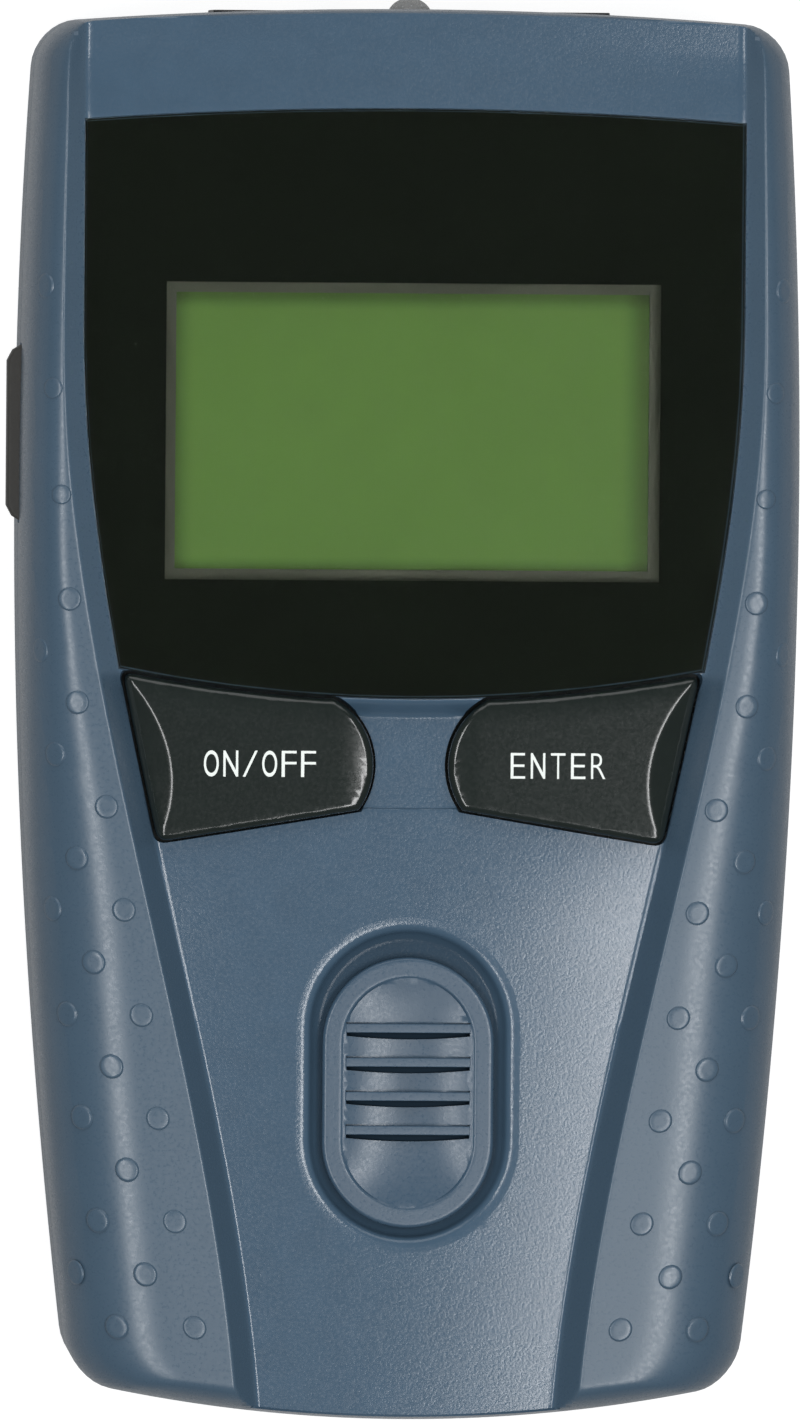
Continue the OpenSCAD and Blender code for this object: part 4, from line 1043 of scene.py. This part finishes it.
def rim_gap(x, y, outline):
    p = Vector((x, y))
    best = 1e9
    for (ax, ay), (bx, by) in zip(outline, outline[1:] + outline[:1]):
        d = Vector((bx - ax, by - ay))
        t = max(0, min(1, (p - Vector((ax, ay))).dot(d) / d.length_squared))
        best = min(best, (p - Vector((ax, ay)) - d * t).length)
    return best


def right_key():
    outline = key_outline(0)
    bm = bmesh.new()
    bm.faces.new([bm.verts.new((x, y, 0)) for x, y in outline])
    inset = bm.faces[:]
    for width in (0.06, 0.1, 0.14, 0.2, 0.25):
        bmesh.ops.inset_region(bm, faces=inset, thickness=width, use_boundary=True,
                               use_even_offset=True)
        rim = list({v for face in inset for v in face.verts})
        bmesh.ops.remove_doubles(bm, verts=rim, dist=0.1)
        inset = [max(bm.faces, key=lambda face: len(face.verts))]
    for v in bm.verts:
        v.co.x -= crease(v.co.y)
    cut_through(bm, [-20 + 0.8 * k for k in range(24)]
                + [-0.8, -0.4, -0.15, 0, 0.15, 0.4, 0.9, 1.6, 2.4],
                [-13 + 0.8 * k for k in range(22)])
    for v in bm.verts:
        v.co.x += crease(v.co.y)
        gap = min(rim_r, rim_gap(v.co.x, v.co.y, outline))
        fall = 0.55 * (1 - math.sqrt(max(0, 1 - (1 - gap / rim_r) ** 2)))
        v.co.z = key_height(v.co.x, v.co.y) - fall
    loop, pairs = next_ring(bm, [e for e in bm.edges if e.is_boundary])
    for old, new in pairs:
        new.co.z = 28.6
    bmesh.ops.contextual_create(bm, geom=loop)
    bmesh.ops.recalc_face_normals(bm, faces=bm.faces)
    stem = rod(3.5, 3.5, (15.5, -5.5, 27), 1.4, segments=48)
    flange = prism(key_outline(0.9), 28.2, 29.5)
    return carve(bm, [flange, stem], "UNION", crossing=True)


def legend(name, body, words, first_x, pitch, width, middle_y, height):
    """Printed white letters, each in a cell of its own, a hair above the key's top."""
    letters = []
    for k, letter in enumerate(words):
        text = bpy.data.curves.new(name, "FONT")
        text.body = letter
        text.extrude = 0.008
        text.offset = {"/": -0.014, "O": 0.004, "N": 0.004}.get(letter, -0.012)
        made = bpy.data.objects.new(name, text)
        scene.collection.objects.link(made)
        bpy.context.view_layer.update()
        flat = bpy.data.meshes.new_from_object(
            made.evaluated_get(bpy.context.evaluated_depsgraph_get()))
        bpy.data.objects.remove(made)
        bpy.data.curves.remove(text)
        bm = bmesh.new()
        bm.from_mesh(flat)
        bpy.data.meshes.remove(flat)
        bmesh.ops.remove_doubles(bm, verts=bm.verts, dist=1e-4)
        bmesh.ops.triangulate(bm, faces=bm.faces)
        low = [min(v.co[i] for v in bm.verts) for i in (0, 1)]
        high = [max(v.co[i] for v in bm.verts) for i in (0, 1)]
        for v in bm.verts:
            x = first_x + k * pitch + ((v.co.x - low[0]) / (high[0] - low[0]) - 0.5) * width
            y = middle_y + ((v.co.y - low[1]) / (high[1] - low[1]) - 0.5) * height
            v.co = (x, y, key_height(abs(x), y) + (0.02 if v.co.z > 0 else -0.02))
        letters.append(bm)
    return piece(joined(letters), name, body, "key_plastic", legend_white)


enter = right_key()
on_off = enter.copy()
bmesh.ops.scale(on_off, vec=(-1, 1, 1), verts=on_off.verts)
bmesh.ops.reverse_faces(on_off, faces=on_off.faces)
for bm, name, body in ((on_off, "on_off_keytop", "on_off_key"),
                       (enter, "enter_keytop", "enter_key")):
    key = piece(bm, name, body, "key_plastic", key_plastic)
    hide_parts(body)
legend("on_off_legend", "on_off_key", "ON/OFF", -20.35, 1.98, 1.52, -4.9, 2.66)
legend("enter_legend", "enter_key", "ENTER", 10.9, 2.05, 1.48, -4.95, 2.62)

# Thumb slider: one moulding in the case's plastic with a crisp rim, a level shoulder and a sunk
# dish with four ribs; its stem goes through the cover to the switch.
slider_plastic = finish_of("slider_plastic", (57, 79, 98), 0.31, grain=0.35, mottle=0.05, spot=3)
# Painted shadow: below 30.8 mm the slider's finish turns darker in colour and gloss, in the hollows
# under its ribs and down its sides in the moat.
paint_shade_below(slider_plastic, 30.4, 30.8, 0.15)
pad_z, pad_top, rim_w = 30.05, 31.8, 2.2
dish = pill(slider_w - 2 * rim_w, slider_l - 2 * rim_w, 0, 32, 8)
bm = bmesh.new()
bm.faces.new([bm.verts.new((x, y, 0)) for x, y in dish])
cut_through(bm, [-6 + k for k in range(13)], [-11 + k for k in range(23)])
for v in bm.verts:
    across_dish = min(1, abs(v.co.x) / (slider_w / 2 - rim_w))
    along_dish = min(1, abs(v.co.y) / (slider_l / 2 - rim_w))
    v.co.z = pad_top - 0.08 - 0.95 * (1 - across_dish ** 2.4) * (1 - along_dish ** 3)
loop = [e for e in bm.edges if e.is_boundary]
first = {v: v.co.copy() for e in loop for v in e.verts}
half_run = (slider_l - slider_w) / 2


def outwards(p, grow):
    """A point of the dish's edge moved out across the edge."""
    y = p.y - max(-half_run, min(half_run, p.y))
    d = math.hypot(p.x, y)
    return p.x * (1 + grow / d), p.y + y * grow / d


for grow, z in ((0.12, pad_top - 0.1), (0.24, pad_top - 0.02), (0.4, pad_top), (0.6, pad_top),
                (1.6, pad_top), (1.78, pad_top), (1.9, pad_top - 0.016), (2, pad_top - 0.05),
                (2.09, pad_top - 0.12), (2.16, pad_top - 0.22), (2.2, pad_top - 0.38),
                (2.2, pad_top - 1.2), (2.2, pad_z + 0.3), (2.0, pad_z)):
    loop, pairs = next_ring(bm, loop)
    for old, new in pairs:
        first[new] = first[old]
        x, y = outwards(first[old], grow)
        new.co = (x, y, z)
bmesh.ops.contextual_create(bm, geom=loop)
bmesh.ops.recalc_face_normals(bm, faces=bm.faces)
parts = [block((-w, w), (-4.5, 4.5), (27.1, top)) for w, top in ((2.5, 30.4), (3.7, 27.7))]
grooves = []
rib_half, rib_pitch, rib_low, rib_high = 6.35, 3.47, 0.5, 0.42
for k in range(4):
    y = 1.4 + (k - 1.5) * rib_pitch
    rib = block((-rib_half, rib_half), (y - rib_low, y + rib_high), (30.4, pad_top - 0.02))
    bmesh.ops.bevel(rib, geom=[e for e in rib.edges if min(v.co.z for v in e.verts) > 31],
                    offset=0.12, segments=2, profile=0.5, affect="EDGES", material=-1)
    parts.append(rib)
    grooves.append(block((-rib_half, rib_half), (y + rib_high, y + 0.57), (31.1, 33)))
    bowed = [(x, y - 0.84 - 0.36 * (1 - (x / 6.3) ** 2))
             for x in (-6.3 + 0.9 * n for n in range(15))]
    grooves.append(prism([(6.3, y - rib_low), (-6.3, y - rib_low)] + bowed, 30.45, 33))
bm = carve(bm, parts, "UNION", crossing=True)
bm = carve(bm, grooves + [block((-0.9, 0.9), (-0.9, 0.9), (26, 30))])
bmesh.ops.translate(bm, vec=(0, slider_y, 0), verts=bm.verts)
slider = piece(bm, "thumb_pad", "thumb_slider", "slider_plastic", slider_plastic)
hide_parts("thumb_slider")

# Side key: a black rubber-soft bar let into the left wall, chamfered at both ends, with a flange
# behind the wall.
side_rubber = finish_of("side_rubber", (58, 57, 54), 0.6, grain=0.25, depth=0.02, mottle=0.08,
                        spot=3)
side_x, bar_low, bar_high = 39.98, 17.72, 22.58
bar = [(-side_x - 1.08, -7.4), (-side_x - 0.5, -8.5), (-side_x + 0.3, -8.98), (-37.4, -8.98)]
bar = bar + [(x, -y) for x, y in bar[::-1]]
bm = prism([(x, y + side_key_y) for x, y in bar], bar_low, bar_high)
bmesh.ops.bevel(bm, geom=[e for e in bm.edges if max(v.co.x for v in e.verts) < -side_x + 0.5
                          and abs(e.verts[0].co.z - e.verts[1].co.z) < 0.01], offset=0.35,
                segments=3, profile=0.5, affect="EDGES", material=-1)
side_low, side_high = [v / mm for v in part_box("side_key")]
flange = block((-37.75, -36.75), (side_low.y, side_high.y), (bar_low, side_high.z))
bm = carve(bm, [flange], "UNION")
side = piece(bm, "side_bar", "side_key", "elastomer", side_rubber)
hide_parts("side_key")

# Lamp between the ports: a frosted five-millimetre lens cast in resin, pushed through the port
# end from inside, where its collar stops against the wall.
lamp_plastic = finish_of("frosted_lamp", (246, 247, 246), 0.3, depth=0.005, mottle=0.03, spot=3)
tune(lamp_plastic.node_tree.nodes["Principled BSDF"], Transmission_Weight=0.75)
profile = [(0, 64.6), (2.9, 64.6), (2.9, 65.55), (2.5, 65.6)]
profile += [(2.5 * math.cos(t), 70.7 + 2.5 * math.sin(t))
            for t in (math.pi / 2 * k / 12 for k in range(13))]
bm = bmesh.new()
line = [bm.verts.new((r, y, lamp_z)) for r, y in profile]
for a, b in zip(line, line[1:]):
    bm.edges.new((a, b))
bmesh.ops.spin(bm, geom=bm.verts[:] + bm.edges[:], cent=(0, 0, lamp_z), axis=(0, 1, 0),
               angle=2 * math.pi, steps=40, use_merge=True)
bmesh.ops.remove_doubles(bm, verts=bm.verts, dist=1e-3)
bmesh.ops.recalc_face_normals(bm, faces=bm.faces)
lamp_piece = piece(bm, "lamp_dome", "case", "lamp_lens", lamp_plastic)
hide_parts("lamp")

# Ports: two moulded eight-way sockets soldered to the board behind openings in the port end, each
# with eight gilt spring wires in it.
port_black = finish_of("port_black", (42, 43, 44), 0.32, grain=0.25, depth=0.006, mottle=0.08,
                       spot=3)


def softened(name, node, slot, finish, width, port_end=None):
    """A frame solid again, merged, with its edges broken."""
    bm = bmesh.new()
    bm.from_mesh(nodes[node].data)
    bmesh.ops.scale(bm, vec=(1 / mm, 1 / mm, 1 / mm), verts=bm.verts)
    bmesh.ops.remove_doubles(bm, verts=bm.verts, dist=2e-3)
    bmesh.ops.dissolve_limit(bm, angle_limit=math.radians(1), verts=bm.verts, edges=bm.edges)
    if port_end:
        for v in bm.verts:
            v.co.y = min(v.co.y, port_end)
    crisp = [e for e in bm.edges
             if len(e.link_faces) == 2 and e.calc_face_angle(0) > math.radians(40)]
    bmesh.ops.bevel(bm, geom=crisp, offset=width, segments=2, profile=0.5, affect="EDGES",
                    clamp_overlap=True, material=-1)
    made = piece(bm, name, "case", slot, finish, sharp=25)
    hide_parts(node)


for side_name in ("left", "right"):
    softened(side_name + "_port", side_name + "_jack", "port_plastic", port_black, 0.12, 71.8)
dress(finish_of("gilt_wire", (226, 184, 96), 0.24, grain=0.15, depth=0.003, metallic=1),
      "left_jack_contacts", "right_jack_contacts")

# Screws: pan-head thread-forming screws of zinc-plated steel, driven from the back through the
# case, the main board and the display's board.
zinc = finish_of("zinc_steel", (168, 171, 172), 0.3, grain=0.12, depth=0.004, mottle=0.1, spot=1.5,
                 metallic=1, vary=0.1)
softened("case_screw_set", "case_screws", "screw_steel", zinc, 0.08)
dress(zinc, "board_screws", "lcd_screws")

# Boards: green fibreglass with copper tracks under the varnish, screwed to posts in the covers;
# the smaller carries the display.
board_green = finish_of("board_green", (28, 92, 58), 0.36, grain=0.5, depth=0.008, mottle=0.1,
                        spot=4)
tree = board_green.node_tree
tracks = add(tree, "TexBrick", Scale=1 / (9 * mm), Mortar_Size=0.025, Row_Height=0.13,
             Mortar=paint(70, 140, 88))
tracks.offset = 0.37
wire(tree, ("Mix", 2, tracks, "Color1"), ("Mix", 2, tracks, "Color2"),
     ("Texture Coordinate", "Object", tracks, "Vector"),
     (tracks, "Color", "Principled BSDF", "Base Color"))
dress(board_green, "main_board", "lcd_board")

# Behind the display: a milky light guide, layered rubber strips that carry the glass's contacts,
# and a black pin header between the two boards.
layered = finish_of("layered_rubber", (58, 56, 60), 0.55, grain=0.2, mottle=0.05)
bands = add(layered.node_tree, "TexWave", Scale=1 / (2.4 * mm))
wire(layered.node_tree, ("Texture Coordinate", "Object", bands, "Vector"))
lay_over(layered, bands, "Fac", (176, 140, 142))
black_nylon = finish_of("black_nylon", (36, 36, 37), 0.45, depth=0.012, mottle=0.08, spot=3)
dress(finish_of("milky_guide", (232, 236, 210), 0.45, grain=0.6, mottle=0.03, spot=6),
      "lcd_backlight")
dress(layered, "lcd_contact_strips")
dress(black_nylon, "lcd_header")

# Under the keys: one grey silicone mat moulded with two domes, laid on the board, and a pill of
# conductive rubber in each dome.
dress(finish_of("grey_silicone", (178, 180, 178), 0.5, grain=0.4, mottle=0.05, spot=5), "key_mat",
      "on_off_dome", "enter_dome")
dress(finish_of("carbon_rubber", (24, 24, 25), 0.75, grain=0.15, depth=0.02, mottle=0.1, spot=1),
      "on_off_pill", "enter_pill")

# Switches: a tin-plated slide switch under the thumb slider, and a nylon push switch with an ivory
# plunger behind the side key.
tin_plate = finish_of("tin_plate", (196, 196, 190), 0.34, grain=0.2, depth=0.004, metallic=1,
                      vary=0.08)
dress(tin_plate, "slide_switch", "lamp_legs", "crystal")
dress(black_nylon, "slide_switch_knob", "side_switch")
dress(finish_of("ivory_plunger", (222, 216, 196), 0.4, depth=0.006, mottle=0.04),
      "side_switch_plunger")

# Small parts on the board: moulded chips, a buzzer, sleeved capacitors, a regulator, resistors and
# the blue trimmer that sets the display's contrast.
dress(finish_of("moulded_epoxy", (34, 34, 36), 0.6, grain=0.12, mottle=0.12), "controller_chip",
      "logic_chips", "regulator", "resistors")
dress(black_nylon, "buzzer")
dress(finish_of("blue_sleeve", (34, 44, 92), 0.28, grain=0.6, depth=0.006), "capacitors")
dress(finish_of("trimmer_blue", (44, 96, 172), 0.34, grain=0.25, depth=0.006, mottle=0.05),
      "contrast_trimmer")

# Battery: a nine-volt block in a plain painted steel jacket, dark with a bare band at its stud end,
# on its snap with two vinyl leads, and a foam pad that takes up the play.
jacket = finish_of("battery_jacket", (46, 47, 50), 0.3, grain=0.5, depth=0.005, spot=5,
                   metallic=0.6)
along = add(jacket.node_tree, "SeparateXYZ")
band = add(jacket.node_tree, "MapRange", From_Min=-32.2 * mm, From_Max=-32.0 * mm)
wire(jacket.node_tree, ("Texture Coordinate", "Object", along, 0), (along, "Y", band, "Value"))
lay_over(jacket, band, 0, (176, 142, 92))
softened("battery_block", "battery", "battery_jacket", jacket, 0.5)
dress(tin_plate, "battery_studs")
dress(finish_of("black_vinyl", (30, 30, 31), 0.34, grain=0.4, depth=0.008, mottle=0.08),
      "battery_snap", "black_lead")
dress(finish_of("red_vinyl", (172, 30, 28), 0.32, grain=0.4, depth=0.005, mottle=0.05), "red_lead")
dress(finish_of("dark_foam", (56, 56, 60), 0.85, grain=0.7, depth=0.3, mottle=0.25, spot=1,
                vary=0.05, detail=4), "bay_foam")

size = {"cad": [list(v) for v in cad_box], "visual": [list(v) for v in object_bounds()]}
